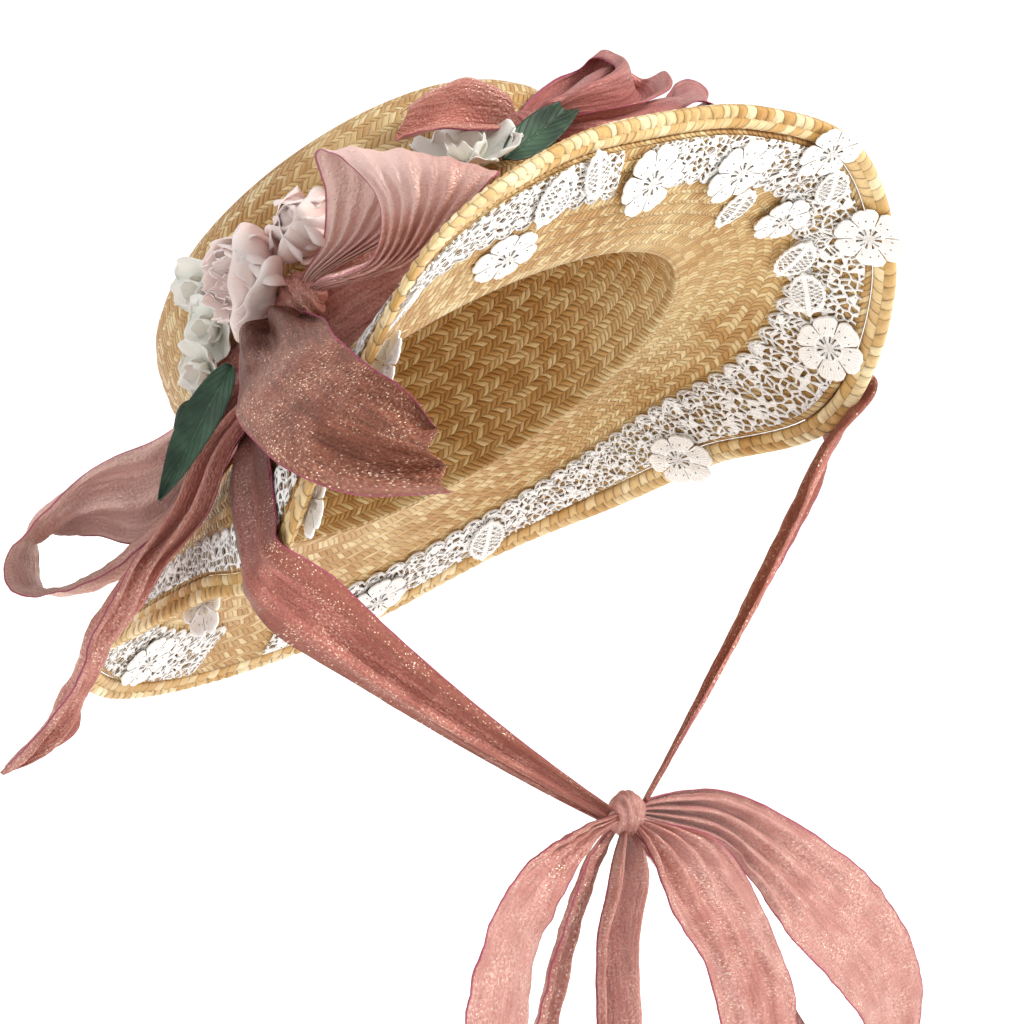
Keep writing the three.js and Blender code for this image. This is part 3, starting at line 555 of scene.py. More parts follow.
inside = STRAW_INSIDE + EDGING_GAP + LACE_MIDDLE
outside = -EDGING_GAP - LACE_MIDDLE
edging("net_edging_right", -EDGING_SEAM, -6, EDGING_START, 0.97, inside, "lace_edging_right")
edging("net_edging_left", 0, EDGING_SEAM, EDGING_START, 0.97, inside, "lace_edging_left")
edging("net_edging_outside", -EDGING_SEAM, EDGING_SEAM, OUTER_EDGING_START, 0.99, outside,
       "lace_outer_edging")

# %% [markdown]
# Each lace flower has petals with a corded edge, and a ring of slits round its heart. A disc laid
# out round its middle gives U the turn and V the distance from the heart, so slits and petals
# are simple counts. The disc is then bent onto the curve of the brim.

# %% Lace flowers and leaves
FLOWER_RADIUS = 14 * MM
LEAF_LENGTH = 26 * MM
MOTIF_GAP = 0.9 * MM
PETALS = 6


def flower_finish():
    finish = lace_base("lace_flower")
    turn, reach = finish.map()
    petal = abs((turn * PETALS).part() - 0.5)
    gap = (petal > 0.47) * (reach > 0.55)
    slit = (abs((turn * 12).part() - 0.5) < 0.17) * (reach > 0.17) * (reach < 0.37)
    pin = (abs((turn * 18).part() - 0.5) < 0.1) * (abs(reach - 0.66) < 0.025)
    ribs = (turn * 60 * TURN).sine() * 0.5 + 0.5
    cord = ((reach > 0.9) + (abs(reach - 0.42) < 0.035) + (petal > 0.42) * (reach > 0.45)).held()
    height = ribs * 0.3 * (1 - cord) + cord * 0.8
    finish.feed(
        Base_Color=shaded_thread_colour(finish, height + 0.45),
        Alpha=1 - (gap + slit + pin).held(),
        Normal=finish.bump(height, LACE_RELIEF, 0.7),
    )
    return finish.material


def leaf_lace_finish():
    finish = lace_base("lace_leaf")
    turn, reach = finish.map()
    x = reach * (turn * TURN).cosine() * 4
    y = reach * (turn * TURN).sine() * 2
    lattice = abs((x + y).part() - 0.5).low(abs((x - y).part() - 0.5))
    holes = (lattice > 0.13) * (reach < 0.84) * (abs(y) > 0.2)
    height = (1 - lattice * 4).held() * 0.6 + (reach > 0.84) * 0.8 + (abs(y) < 0.2) * 0.6
    finish.feed(
        Base_Color=shaded_thread_colour(finish, height + 0.5),
        Alpha=1 - holes,
        Normal=finish.bump(height, LACE_RELIEF, 0.7),
    )
    return finish.material


LACE_FLOWER = flower_finish()
LACE_LEAF = leaf_lace_finish()

# angle, share of the brim's width, turn, lift at the outer edge, size
FLOWER_PLACES = (
    (-27, 0.36, 10, 0, 1), (1, 0.7, 40, 0, 1), (21, 0.72, 5, 0, 1), (34, 1.02, 60, 0, 0.9),
    (43, 0.56, 20, 0, 0.85), (51, 1, 30, 0, 1), (70, 0.9, 0, 0, 1), (-52, 1.1, 15, 0.1, 0.85),
    (-69, 1.04, 50, 0, 0.85), (-104, 1.1, 25, 0, 0.9), (-158, 0.82, 35, 0, 1),
    (104, 1, 15, 0, 0.9), (158, 0.85, 0, 0, 1),
)
LEAF_PLACES = (
    (-20, 0.8, 60, 0, 1), (31, 0.43, -60, 0, 0.9), (41, 0.88, 150, 0, 0.8), (55, 0.62, -30, 0, 0.9),
    (62, 0.72, 200, 0.05, 0.9), (-48, 0.72, 20, 0, 1), (-12, 0.86, 100, 0, 0.8),
    (-140, 0.85, 70, 0, 1), (140, 0.85, 70, 0, 1),
)


def petal_reach(turn):
    lobe = abs(math.sin(math.pi * PETALS * turn))
    return (0.76 + 0.26 * lobe ** 0.5 - 0.05 * lobe ** 12) * (1 + 0.012 * math.cos(TURN * 5 * PETALS * turn))


def leaf_reach(turn):
    side = abs(math.sin(TURN * turn))
    return 0.5 * (1 - 0.38 * side ** 0.8) * (1 + 0.04 * math.cos(TURN * 16 * turn))


def motif(name, spot, size, reach_at, dome, rings, steps, finish, node):
    angle, across, turn, lift, scale = spot
    size *= scale
    middle = on_brim(angle, across)
    per_degree = (on_brim(angle + 1, across) - middle).length
    per_share = (on_brim(angle, across + 0.02) - middle).length / 0.02
    over = across + size * reach_at(0.25) / per_share > EDGING_START
    under = STRAW_INSIDE + LACE_MIDDLE + (MOTIF_GAP + 2 * LACE_MIDDLE if over else 0)

    def place(u, v):
        reach = size * reach_at(u) * v
        facing = TURN * u + math.radians(turn)
        x, y = reach * math.cos(facing), reach * math.sin(facing)
        stand = lift * max(y + FLOWER_RADIUS, 0) + dome(u, v) * MM
        return beside_brim(angle + x / per_degree, across + y / per_share, under + 0.4 * MM + stand)

    strip_piece(name, rings, steps, place, None, finish, "lace", [node], LACE_WALL)


def flower_dome(u, v):
    return 0.9 * math.sin(math.pi * min(v * 1.1, 1)) * abs(math.sin(math.pi * PETALS * u)) + 0.5 * (v < 0.2)


def leaf_dome(u, v):
    return 0.6 * math.cos(math.pi / 2 * v)


for i, spot in enumerate(FLOWER_PLACES):
    motif(f"guipure_flower_{i + 1}", spot, FLOWER_RADIUS, petal_reach, flower_dome, 10, 96,
          LACE_FLOWER, f"lace_flower_{i + 1}")
for i, spot in enumerate(LEAF_PLACES):
    motif(f"guipure_leaf_{i + 1}", spot, LEAF_LENGTH, leaf_reach, leaf_dome, 8, 64,
          LACE_LEAF, f"lace_leaf_{i + 1}")

# %% [markdown]
# The ribbon is crinkled organza with a metallic thread: thin, with painted sheen and shade in streaks,
# painted highlights on its crinkle, full of tiny glitter specks whose pale colour is a painted glint,
# and with a narrow darker selvedge. Its crinkle runs along it, so the noise is stretched along V.

# %% Ribbon finish
RIBBON_MM = 46
RIBBON_WIDTH = RIBBON_MM * MM
# The first four are painted light and shade: the pale of light shining through, shade in folds, deep shade
# and the glint of glitter. The selvedge's colour is its own.
BACKLIT_PINK, FOLD_SHADE, DEEP_SHADE, PAINTED_GLINT, SELVEDGE = "f3cdc4", "83412f", "431710", "ffdfc6", "a34463"


def ribbon_finish(name, pale, middle, dark, sheer, backlit_until=0, shade_until=0, shaded_sides=False, crush=1):
    finish = Finish(name, Sheen_Weight=0.02, Specular_IOR_Level=0.35)
    across, along = finish.map()
    place = finish.join(across * RIBBON_MM, along * RIBBON_MM)
    streak = finish.noise(finish.join(across * RIBBON_MM, along * 5), 0.5, 3.0)
    crinkle = finish.noise(place, 0.9, 3.0)
    cloud = finish.noise(place, 0.06, 2.0)
    grains = {"Vector": place, "Scale": 1.15}
    near = finish.node("ShaderNodeTexVoronoi", {}, grains, 0)
    grain = {"Color": finish.node("ShaderNodeTexVoronoi", {}, grains, 1)}
    pick = finish.node("ShaderNodeSeparateColor", {}, grain, 0)
    lit = cloud.step(0.38, 0.62)
    # Glitter specks of the metallic thread: shinier and more metallic, and painted with a pale glint.
    glitter_glints = (pick > 0.9 - lit * 0.3) * (near < 0.34) * crush
    # Painted sheen and shade in streaks: the colour runs from the dark to the middle tone along the streaks
    # and with the lit patches.
    streak_sheen = (streak.step(0.3, 0.7) * 0.6 + cloud.step(0.3, 0.7) * 0.2 + 0.2).held()
    colour = finish.mix(streak_sheen, shade(dark), shade(middle))
    # Painted highlights: the crinkle's crests are lightened towards the pale tone, most in the lit patches.
    colour = finish.mix(crinkle.step(0.45, 0.7) * (0.15 + lit * 0.5) * crush, colour, shade(pale))
    # Painted light shining through: the start of the loop is painted paler, most towards its first edge, and
    # has no glints there.
    if backlit_until:
        backlight = (1 - along.step(backlit_until - 0.2, backlit_until)) * (1 - across.step(0.3, 0.75) * 0.8)
        colour = finish.mix(backlight, colour, shade(BACKLIT_PINK))
        glitter_glints = glitter_glints * (1 - backlight)
    # Painted shade in the folds: both sides of the ribbon are darkened, which leaves a lighter stripe down
    # its middle.
    if shaded_sides:
        colour = finish.mix(abs(across - 0.6).step(0.14, 0.24) * 0.7, colour, shade(FOLD_SHADE))
    # Painted shade: the first part of the ribbon's length is darkened, and its glints dimmed.
    if shade_until:
        painted_shade = 1 - along.step(shade_until * 0.5, shade_until)
        colour = finish.mix(painted_shade * 0.7, colour, shade(DEEP_SHADE))
        glitter_glints = glitter_glints * (1 - painted_shade * 0.7)
    # Painted glints: the glitter specks are coloured pale, the more so in the lit patches.
    colour = finish.mix(glitter_glints * (0.35 + lit * 0.65), colour, shade(PAINTED_GLINT))
    edge = abs(across - 0.5).step(0.482, 0.49)
    colour = finish.mix(edge * 0.85, colour, shade(SELVEDGE))
    finish.feed(
        Base_Color=colour,
        Metallic=0.22 + glitter_glints * 0.3,
        Roughness=0.46 - glitter_glints * 0.2 - lit * 0.08,
        Normal=finish.bump(crinkle * crush + streak * 0.9, 1 * MM, 0.8),
        Alpha=(sheer + edge * 0.2 + glitter_glints * 0.1).held(),
    )
    return finish.material


RIBBON = ribbon_finish("organza", "fad8c8", "d8968a", "944e42", 0.97)
# A darker copy of the same organza: painted shade on the side bow's front tail, whose start is darkened
# further.
SHADED_ORGANZA = ribbon_finish("organza_shaded", "dfa483", "9f5d49", "54291d", 0.98, shade_until=1.7)
# A paler copy: painted light on the fan loop, with painted light shining through the start of the loop.
FAN_LIT = ribbon_finish("organza_fan_lit", "fee6dd", "f0b6aa", "b06a5c", 0.96, backlit_until=2.3)
# A darker copy of the same organza with less crinkle and glitter: painted shade on the top bow.
TOP_BOW_SHADED = ribbon_finish("organza_top_bow_shaded", "eebfb5", "c27c76", "84423f", 0.97, crush=0.3)
# A paler and sheerer copy: painted light on the side bow's back loop.
BACK_LOOP_LIT = ribbon_finish("organza_back_loop_lit", "fce6dc", "e8b8ac", "bd857a", 0.84)
SHEER = ribbon_finish("organza_sheer", "f6d8cd", "d39389", "a46055", 0.82)
# The strap's copy has painted shade at its start, on the brim, and down both sides in its folds.
STRAPPED = ribbon_finish("organza_strap", "f8c6b4", "c4776a", "82443a", 0.96, shade_until=2.5, shaded_sides=True)
print("ribbon finishes:", len([m for m in bpy.data.materials if m.name.startswith("organza")]))

# %% [markdown]
# A bow's loops and tails are single lengths of ribbon. Each is drawn by where its two edges run,
# given at a few places in shares of the ribbon's width, along the crown, up it and out from it. A
# row has the place of the first edge and then of the second.
# The surface between the edges swells a little, gathers towards the knot and crinkles.

# %% Where the ribbons run
RIBBON_WALL = 0.35 * MM
BAND_OUT = 2.5 * MM
BAND_TOP = 34 * MM

SIDE_FRONT_TAIL = [
    (0, -0.195, 0.22, -0.12, -0.17, 0.22), (0.03, -0.16, 0.45, -0.45, -0.13, 0.45),
    (0.22, -0.38, 0.75, -0.52, -0.32, 0.7), (0.4, -0.66, 1.22, -0.57, -0.58, 0.86),
    (0.55, -0.96, 1.72, -0.6, -0.82, 1.1), (0.66, -1.22, 1.88, -0.43, -1.2, 1.5),
    (0.74, -1.41, 1.94, -0.23, -1.6, 1.78), (0.86, -1.68, 1.98, 0.13, -2.06, 1.86),
    (0.91, -1.99, 2, 0.75, -2.46, 1.92),
]

SIDE_FAN_LOOP = [
    (0.1, 0.1, 0.26, 0.3, 0.02, 0.24), (0.4, 0.2, 0.3, 0.95, -0.1, 0.26),
    (0.65, 0.45, 0.44, 1.5, -0.15, 0.4), (0.82, 0.66, 0.68, 1.9, -0.28, 0.6),
    (1.05, 0.35, 0.92, 1.88, -0.36, 0.76), (1.1, -0.05, 0.9, 1.6, -0.42, 0.78),
    (0.8, -0.3, 0.76, 1.1, -0.48, 0.7), (0.3, -0.1, 0.56, 0.46, -0.24, 0.54),
]

SIDE_BACK_LOOP = [
    (-0.35, -0.2, 0.3, -0.42, -0.42, 0.28), (-0.9, -0.3, 0.3, -1.15, -0.75, 0.26),
    (-1.43, -0.32, 0.36, -1.98, -0.88, 0.24), (-1.84, -0.28, 0.56, -2.28, -0.64, 0.3),
    (-2.23, -0.32, 0.7, -2.6, -0.38, 0.12), (-2.65, -0.48, 0.84, -2.86, -0.24, -0.08),
    (-2.84, -0.64, 0.9, -2.98, -0.4, -0.12), (-2.86, -0.84, 0.9, -3.04, -0.62, -0.12),
    (-2.62, -1, 0.8, -2.84, -0.78, -0.14), (-2.3, -1.06, 0.62, -2.54, -0.82, -0.18),
    (-1.9, -1, 0.44, -2.12, -0.9, -0.06), (-1.4, -0.86, 0.24, -1.52, -0.88, 0.12),
]

SIDE_BACK_TAIL = [
    (-0.42, -0.47, 0.34, -0.3, -0.56, 0.34), (-1.1, -0.6, 0.46, -0.9, -0.74, 0.45),
    (-1.6, -0.9, 0.5, -1.38, -1.08, 0.46), (-2.02, -1.1, 0.7, -1.9, -1.22, 0.5),
    (-2.3, -1.26, 0.76, -2.26, -1.3, 0.36), (-2.56, -1.4, 0.78, -2.64, -1.36, 0.26),
    (-2.8, -1.58, 0.76, -3.02, -1.44, 0.1), (-3.01, -1.67, 0.74, -3.12, -1.58, 0.22),
    (-3.31, -1.74, 0.7, -3.18, -1.8, 0.34), (-3.56, -1.79, 0.66, -3.32, -1.84, 0.42),
    (-3.78, -1.82, 0.62, -3.64, -1.84, 0.56),
]

TOP_BACK_LOOP = [
    (-0.185, 0.07, 0.12, -0.185, -0.07, 0.12), (-0.27, 0.3, 0.15, -0.35, -0.06, 0.2),
    (-0.5, 0.45, 0.16, -0.75, -0.04, 0.24), (-0.9, 0.36, 0.24, -1.1, 0, 0.3),
    (-1.35, 0.22, 0.3, -1.45, 0.02, 0.32),
]

TOP_UPRIGHT_LOOP = [
    (0.07, 0.16, 0.1, 0.17, 0.09, 0.14), (0.2, 0.26, 0.06, 0.42, -0.02, 0.28),
    (0.5, 0.42, 0, 0.78, -0.02, 0.32), (1, 0.6, -0.1, 1.33, 0.12, 0.24),
    (1.2, 0.52, 0.02, 1.45, 0.05, 0.36), (1.05, 0.26, 0.28, 1.2, -0.14, 0.5),
    (0.6, 0.06, 0.44, 0.7, -0.24, 0.58), (0.14, 0, 0.42, 0.2, -0.14, 0.48),
]

TOP_FRONT_LOOP = [
    (0.185, 0.01, 0.12, 0.13, -0.12, 0.15), (0.8, -0.12, 0.2, 0.45, -0.38, 0.4),
    (1.54, 0.08, 0.06, 1, -0.32, 0.48), (2.3, 0.34, -0.14, 1.55, -0.2, 0.46),
    (2.55, 0.25, -0.2, 1.8, -0.3, 0.42), (2.35, 0, -0.1, 1.65, -0.43, 0.46),
]

CHIN_RIGHT_LOOP = [
    (-0.19, 0.05, 0.02, -0.19, -0.07, 0.02), (-0.85, 0.12, 0.22, -0.62, -0.12, 0.14),
    (-1.5, 0.06, 0.35, -0.92, -0.46, 0.14), (-2, -0.25, 0.46, -1.2, -0.86, 0.14),
    (-2.35, -0.85, 0.56, -1.3, -1.4, 0.18), (-2.36, -1.6, 0.56, -1.26, -1.95, 0.2),
    (-2.1, -2.2, 0.4, -1.15, -2.45, 0.06), (-1.6, -2.3, 0.16, -0.85, -2.4, -0.16),
    (-1.15, -1.75, 0.06, -0.6, -1.85, -0.24), (-0.85, -1.05, 0.04, -0.4, -1.15, -0.24),
    (-0.5, -0.45, 0, -0.22, -0.52, -0.16), (-0.17, -0.16, -0.06, -0.08, -0.2, -0.1),
]

CHIN_LEFT_LOOP = [
    (0.2, 0.08, 0.04, 0.2, -0.08, 0.04), (0.85, 0.02, 0.1, 0.95, -0.45, 0.12),
    (1.5, -0.26, 0.14, 1.3, -0.85, 0.2), (2.3, -0.8, 0.2, 1.55, -1.3, 0.36),
    (2.9, -1.35, 0.26, 1.9, -1.75, 0.5), (3.3, -2.05, 0.32, 2.3, -2.25, 0.56),
    (3.4, -2.75, 0.28, 2.5, -2.75, 0.52), (3.15, -3.2, 0.14, 2.35, -3.1, 0.4),
    (2.65, -2.85, -0.1, 1.9, -2.6, 0.1), (1.85, -1.75, -0.2, 1.2, -1.55, -0.08),
    (0.85, -0.75, -0.12, 0.55, -0.7, -0.06), (0.2, -0.2, -0.08, 0.12, -0.22, -0.08),
]

CHIN_CENTRE_TAIL = [
    (-0.1, -0.2, 0, 0.06, -0.21, 0.02), (-0.42, -0.45, 0.16, -0.02, -0.45, 0.2),
    (-0.6, -0.85, 0.2, -0.2, -0.9, 0.26), (-0.66, -1.5, 0.26, -0.24, -1.55, 0.32),
    (-0.7, -2.3, 0.3, -0.26, -2.3, 0.38), (-0.66, -3.1, 0.34, -0.2, -3.1, 0.42),
    (-0.7, -3.8, 0.36, -0.18, -4.1, 0.42),
]

CHIN_LEFT_TAIL = [
    (0.02, -0.12, 0.12, 0.16, -0.08, 0.1), (0.02, -0.4, 0.3, 0.7, -0.3, 0.28),
    (0.1, -0.75, 0.4, 1.05, -0.75, 0.36), (0.35, -1.2, 0.5, 1.25, -1.2, 0.44),
    (0.5, -1.7, 0.56, 1.45, -1.7, 0.5), (0.55, -2.4, 0.6, 1.55, -2.4, 0.52),
    (0.5, -3.2, 0.6, 1.5, -3.2, 0.54), (0.6, -4.3, 0.6, 1.55, -3.9, 0.56),
]


def wall_radius(height):
    rows = [(h, r) for r, h in CROWN_PROFILE[:5]]
    return CROWN_RADIUS * smooth(rows, height / CROWN_HEIGHT)


def crown_seat(angle, height, out=0.0):
    """A place on the crown's wall, with its directions along, up and out."""
    facing = outwards(angle)
    band = BAND_OUT if height < BAND_TOP else 0
    origin = on_hat(angle, wall_radius(height) + band + out, height)
    return origin, CROWNWARD.cross(facing), CROWNWARD, facing


def at_seat(seat, place, unit):
    origin, along, up, out = seat
    return origin + (along * place[0] + up * place[1] + out * place[2]) * unit


SIDE_SEAT = crown_seat(-62, 28 * MM)
TOP_SEAT = crown_seat(0, 50 * MM)
CHIN_KNOT = Vector((0, -87, -140)) * MM
CHIN_SEAT = (CHIN_KNOT, LEFT, Vector((0, 0, 1)), Vector((0, -1, 0)))

# Each bow is a seat and the middle of its knot, where all its ribbons end.
SIDE_BOW = (SIDE_SEAT, at_seat(SIDE_SEAT, (0, 0, 6.2), MM))
TOP_BOW = (TOP_SEAT, at_seat(TOP_SEAT, (0, 0, 5.6), MM))
CHIN_BOW = (CHIN_SEAT, CHIN_KNOT)


# %% [markdown]
# A ribbon keeps its width, so where a bow pinches it, it isn't narrower but folded. The strip is laid
# between its two edges, with folds deep enough to take up the cloth that is left over. Its flat
# length is measured along its middle and printed.

# %% Lay a ribbon between its edges
DEEPEST_FOLD = 3.6  # in mm
RIBBON_STEP = 1.6 * MM
KNOT_PULL = 26 * MM


def strip_length(points):
    return sum((b - a).length for a, b in zip(points, points[1:]))


def pleat_depth(width, pleats, deepest=DEEPEST_FOLD):
    """How deep the folds are that take up the cloth, where a ribbon is drawn narrower than it is."""
    surplus = min(RIBBON_WIDTH / max(width, 1 * MM), 2.6)
    if surplus <= 1:
        return 0
    return min(width / pleats / TURN * math.sqrt(2 * (surplus ** 2 - 1)) * 0.9, deepest * MM)


def declare(piece, length, held):
    """Prints the flat length that the piece was cut as, and its area as a share of that length of full
    ribbon.
    """
    area = sum(face.area for face in piece.data.polygons)
    share = area / length / RIBBON_WIDTH
    print(piece.name, "length in mm:", round(length / MM), "drawn share:", round(share, 2))


def ribbon_piece(name, rows, place, length, finish, held, node):
    def pattern(u, v, middle):
        return (u, v * length / RIBBON_WIDTH)

    piece = strip_piece(name, rows, 40, place, pattern, finish, "ribbon", [node], RIBBON_WALL)
    declare(piece, length, held)


def ribbon(bow, name, table, swell, pleats, finish, held, loop, node, depth, deepest=DEEPEST_FOLD):
    seat, hub = bow
    first = [at_seat(seat, row[:3], RIBBON_WIDTH) for row in table]
    second = [at_seat(seat, row[3:], RIBBON_WIDTH) for row in table]
    length = strip_length([(spline(first, i / 40) + spline(second, i / 40)) / 2 for i in range(41)])

    def place(u, v):
        a, b = spline(first, v), spline(second, v)
        ahead = spline(first, v + 0.01) + spline(second, v + 0.01)
        behind = spline(first, v - 0.01) + spline(second, v - 0.01)
        normal = (ahead - behind).cross(b - a).normalized()
        width = (b - a).length
        from_knot = min(v, 1 - v) * length if loop else v * length
        near_knot = math.exp(-from_knot / KNOT_PULL)
        fold = pleat_depth(width, pleats, deepest) + (0.3 + 0.9 * near_knot) * depth * MM
        waves = fold * math.sin(TURN * pleats * u + 1.2 * math.sin(3 * v))
        waves += 0.5 * MM * math.sin(TURN * (pleats * 0.5 * u + 1.3 * v)) * depth
        flat = a.lerp(b, u)
        crinkle = (noise.noise(flat * 120) * 1.1 + noise.noise(flat * 420) * 0.35) * depth * MM
        rise = swell * 4 * u * (1 - u) * width
        laid = flat + normal * (rise + waves * min(1, 6 * min(u, 1 - u) + 0.5) + crinkle)
        return laid.lerp(hub, 0.45 * math.exp(-from_knot / (4 * MM)))

    ribbon_piece(name, max(int(length / RIBBON_STEP), 24), place, length, finish, held, node)


# %% [markdown]
# The side bow: a tail that rolls over at its top and hangs over the brim, a pleated fan loop, an
# open loop to the back and a twisted tail below it.

# %% Side bow
# name, edges, swell, pleats, finish, how it is held, whether it is a loop, node, depth
for row in (
    ("bow_front_tail", SIDE_FRONT_TAIL, -0.07, 2, SHADED_ORGANZA, "hung", False, "side_front_tail", 0.7),
    ("bow_fan_loop", SIDE_FAN_LOOP, 0.05, 7, FAN_LIT, "gathered", True, "side_fan_loop", 0.9),
    ("bow_back_loop", SIDE_BACK_LOOP, 0.04, 2, BACK_LOOP_LIT, "folded", True, "side_back_loop", 0.8),
    ("bow_back_tail", SIDE_BACK_TAIL, 0.05, 2, RIBBON, "hung", False, "side_back_tail", 0.8),
):
    ribbon(SIDE_BOW, *row)

# %% [markdown]
# The top bow is smaller, and sits in front of the crown between the wall and the brim.

# %% Top bow
for row in (
    ("top_bow_back_loop", TOP_BACK_LOOP, 0.05, 1, RIBBON, "folded", False, "top_back_loop", 0.35, 7),
    ("top_bow_upright_loop", TOP_UPRIGHT_LOOP, 0.05, 1, TOP_BOW_SHADED, "folded", True, "top_upright_loop", 0.35, 6),
    ("top_bow_front_loop", TOP_FRONT_LOOP, 0.05, 1, TOP_BOW_SHADED, "folded", True, "top_front_loop", 0.35, 7),
):
    ribbon(TOP_BOW, *row)

# %% [markdown]
# The chin bow hangs free, so the light shines through it. Its ribbon is a little sheerer.

# %% Chin bow
for row in (
    ("chin_bow_right_loop", CHIN_RIGHT_LOOP, 0.06, 4, SHEER, "hung", True, "chin_right_loop", 0.9),
    ("chin_bow_left_loop", CHIN_LEFT_LOOP, 0.06, 4, SHEER, "hung", True, "chin_left_loop", 0.9),
    ("chin_bow_centre_tail", CHIN_CENTRE_TAIL, 0.06, 1.2, SHEER, "hung", False, "chin_centre_tail", 0.6, 5.5),
    ("chin_bow_left_tail", CHIN_LEFT_TAIL, 0.05, 4, SHEER, "hung", False, "chin_left_tail", 0.9),
):
    ribbon(CHIN_BOW, *row)

# %% [markdown]
# Each chin strap crosses the brim, folds over the rim and runs to the knot, folded lengthwise so
# that a second layer shows beside it. Both sides carry painted shade, in the folds, and leave a
# lighter stripe down the middle. One strip makes both: its UV map is full width, and its outer
# third turns back under.

# %% Chin straps
STRAP_ANGLE = 79
STRAP_WIDTH = 0.64
FOLDED_WIDTH = 0.66
KNOT_WIDTH = 0.14
FOLD_SHARE = 0.3  # of the ribbon's width, turned back under
CHIN_KNOT_RADIUS = 9 * MM
STRAP_LIFT = -3 * MM
STRAP_SAG = 16 * MM


def strap_rows(sign):
    angle = -STRAP_ANGLE * sign
    rows = []
    for across in (0.12, 0.4, 0.7, 0.98):
        turn = RIBBON_WIDTH * STRAP_WIDTH / 2 / on_brim(angle, across).length / math.radians(1)
        rows.append([beside_brim(angle + side * turn, across, STRAP_LIFT) for side in (-1, 1)])
    turn = RIBBON_WIDTH * STRAP_WIDTH / 2 / on_brim(angle, 1).length / math.radians(1)
    over = []
    for side in (-1, 1):
        here = angle + side * turn
        out = (on_brim(here, 1) - on_brim(here, 0.97)).normalized()
        over.append(beside_brim(here, 1, -RIM_THICKNESS / 2 - 1 * MM) + out * (RIM_WIDTH + GAP + 1.4 * MM))
    rows.append(over)
    start = (over[0] + over[1]) / 2
    end = CHIN_KNOT + Vector((-sign * CHIN_KNOT_RADIUS * 1.05, 0, 2 * MM))
    run = end - start
    across = run.cross(Vector((-sign, -1, 0))).normalized()
    if across.dot(over[1] - over[0]) < 0:
        across = -across
    for share in (0.12, 0.3, 0.5, 0.7, 0.88, 1):
        width = FOLDED_WIDTH + (KNOT_WIDTH - FOLDED_WIDTH) * share ** 0.8
        middle = start + run * share - Vector((0, 0, STRAP_SAG * share * (1 - share)))
        rows.append([middle + across * side * width * RIBBON_WIDTH / 2 for side in (-1, 1)])
    return rows


def strap(name, sign, node):
    rows = strap_rows(sign)
    first, second = [row[0] for row in rows], [row[1] for row in rows]
    length = strip_length([(a + b) / 2 for a, b in rows])

    def place(u, v):
        a, b = spline(first, v), spline(second, v)
        ahead = spline(first, v + 0.01) - spline(first, v - 0.01)
        normal = ahead.cross(b - a).normalized() * sign
        width = (b - a).length
        folded = u < FOLD_SHARE
        across = (FOLD_SHARE - u) * 1.3 - 0.12 if folded else (u - FOLD_SHARE) / (1 - FOLD_SHARE)
        under = -1.2 * MM * min(1, (FOLD_SHARE - u) * 12) if folded else 0
        waves = 0.3 * MM + pleat_depth(width * 1.4, 3) * math.sin(TURN * 2.5 * u + math.sin(4 * v))
        flat = a.lerp(b, across)
        crinkle = noise.noise(flat * 160) * 0.5 * MM
        return flat + normal * ((waves + crinkle) * min(1, 2.2 * width / RIBBON_WIDTH) + under)

    ribbon_piece(name, 160, place, length, STRAPPED, "stretched", node)


strap("strap_right", 1, "chin_strap_right")
strap("strap_left", -1, "chin_strap_left")

# %% [markdown]
# The band round the crown's foot is the same ribbon, gathered to about two thirds of its width.

# %% Crown band
BAND_START = 4 * MM
BAND_WIDTH = 30 * MM
BAND_LENGTH = 590 * MM
BAND_FOLD = 1.6 * MM


def band_place(u, v):
    height = BAND_START + v * BAND_WIDTH
    wave = 0.5 + 0.5 * math.sin(TURN * 5 * v + 1.5 * math.sin(TURN * 6 * u))
    wave += 0.3 * noise.noise(Vector((u * 60, v * 3, 0)))
    return on_hat(360 * u, wall_radius(height) + 0.5 * MM + max(wave, 0) * BAND_FOLD, height)


def band_pattern(u, v, middle):
    return (v, u * BAND_LENGTH / RIBBON_WIDTH)


band = strip_piece("gathered_band", 30, 300, band_place, band_pattern,
                   RIBBON, "ribbon", ["crown_band"], RIBBON_WALL)
declare(band, BAND_LENGTH, "gathered")

# %% [markdown]
# A knot is a short length of ribbon pulled tight round the others, so its folds run round it. A
# ball is flattened and its folds are pressed in by moving its points.

# %% Knots
def knot(name, bow, radius, stretch, folds, finish, node):
    (_, along, up, out), hub = bow
    mesh = bmesh.new()
    uv = mesh.loops.layers.uv.verify()
    bmesh.ops.create_uvsphere(mesh, u_segments=64, v_segments=40, radius=1)
    for face in mesh.faces:
        for loop in face.loops:
            loop[uv].uv = (0.5 + loop.vert.co.x * 0.4, loop.vert.co.z * radius / RIBBON_WIDTH)
    for vert in mesh.verts:
        x, y, z = vert.co
        crease = 1 + 0.07 * math.cos(folds * math.pi * x + 1.2 * z) + 0.05 * noise.noise(vert.co * 1.6)
        x *= 1 - 0.2 * z * z
        spread = along * x * stretch[0] + up * z * stretch[1] + out * y * stretch[2]
        vert.co = hub + spread * radius * crease
    return finish_piece(mesh, name, finish, "ribbon", [node], closed=True)


knot("bow_knot", SIDE_BOW, 9.4 * MM, (0.98, 1, 0.7), 5, RIBBON, "side_knot")
knot("top_bow_knot", TOP_BOW, 7.4 * MM, (1.08, 0.98, 0.68), 5, TOP_BOW_SHADED, "top_knot")
knot("chin_bow_knot", CHIN_BOW, 8.4 * MM, (0.94, 0.98, 0.7), 5, SHEER, "chin_knot")

# %% [markdown]
# Silk petals are stamped from thin cloth and pressed into cups. Each petal is one small strip that
# starts at the heart, widens and bends up. The rose has smooth cupped petals outside and fringed
# ones inside. The white blossoms are flatter.

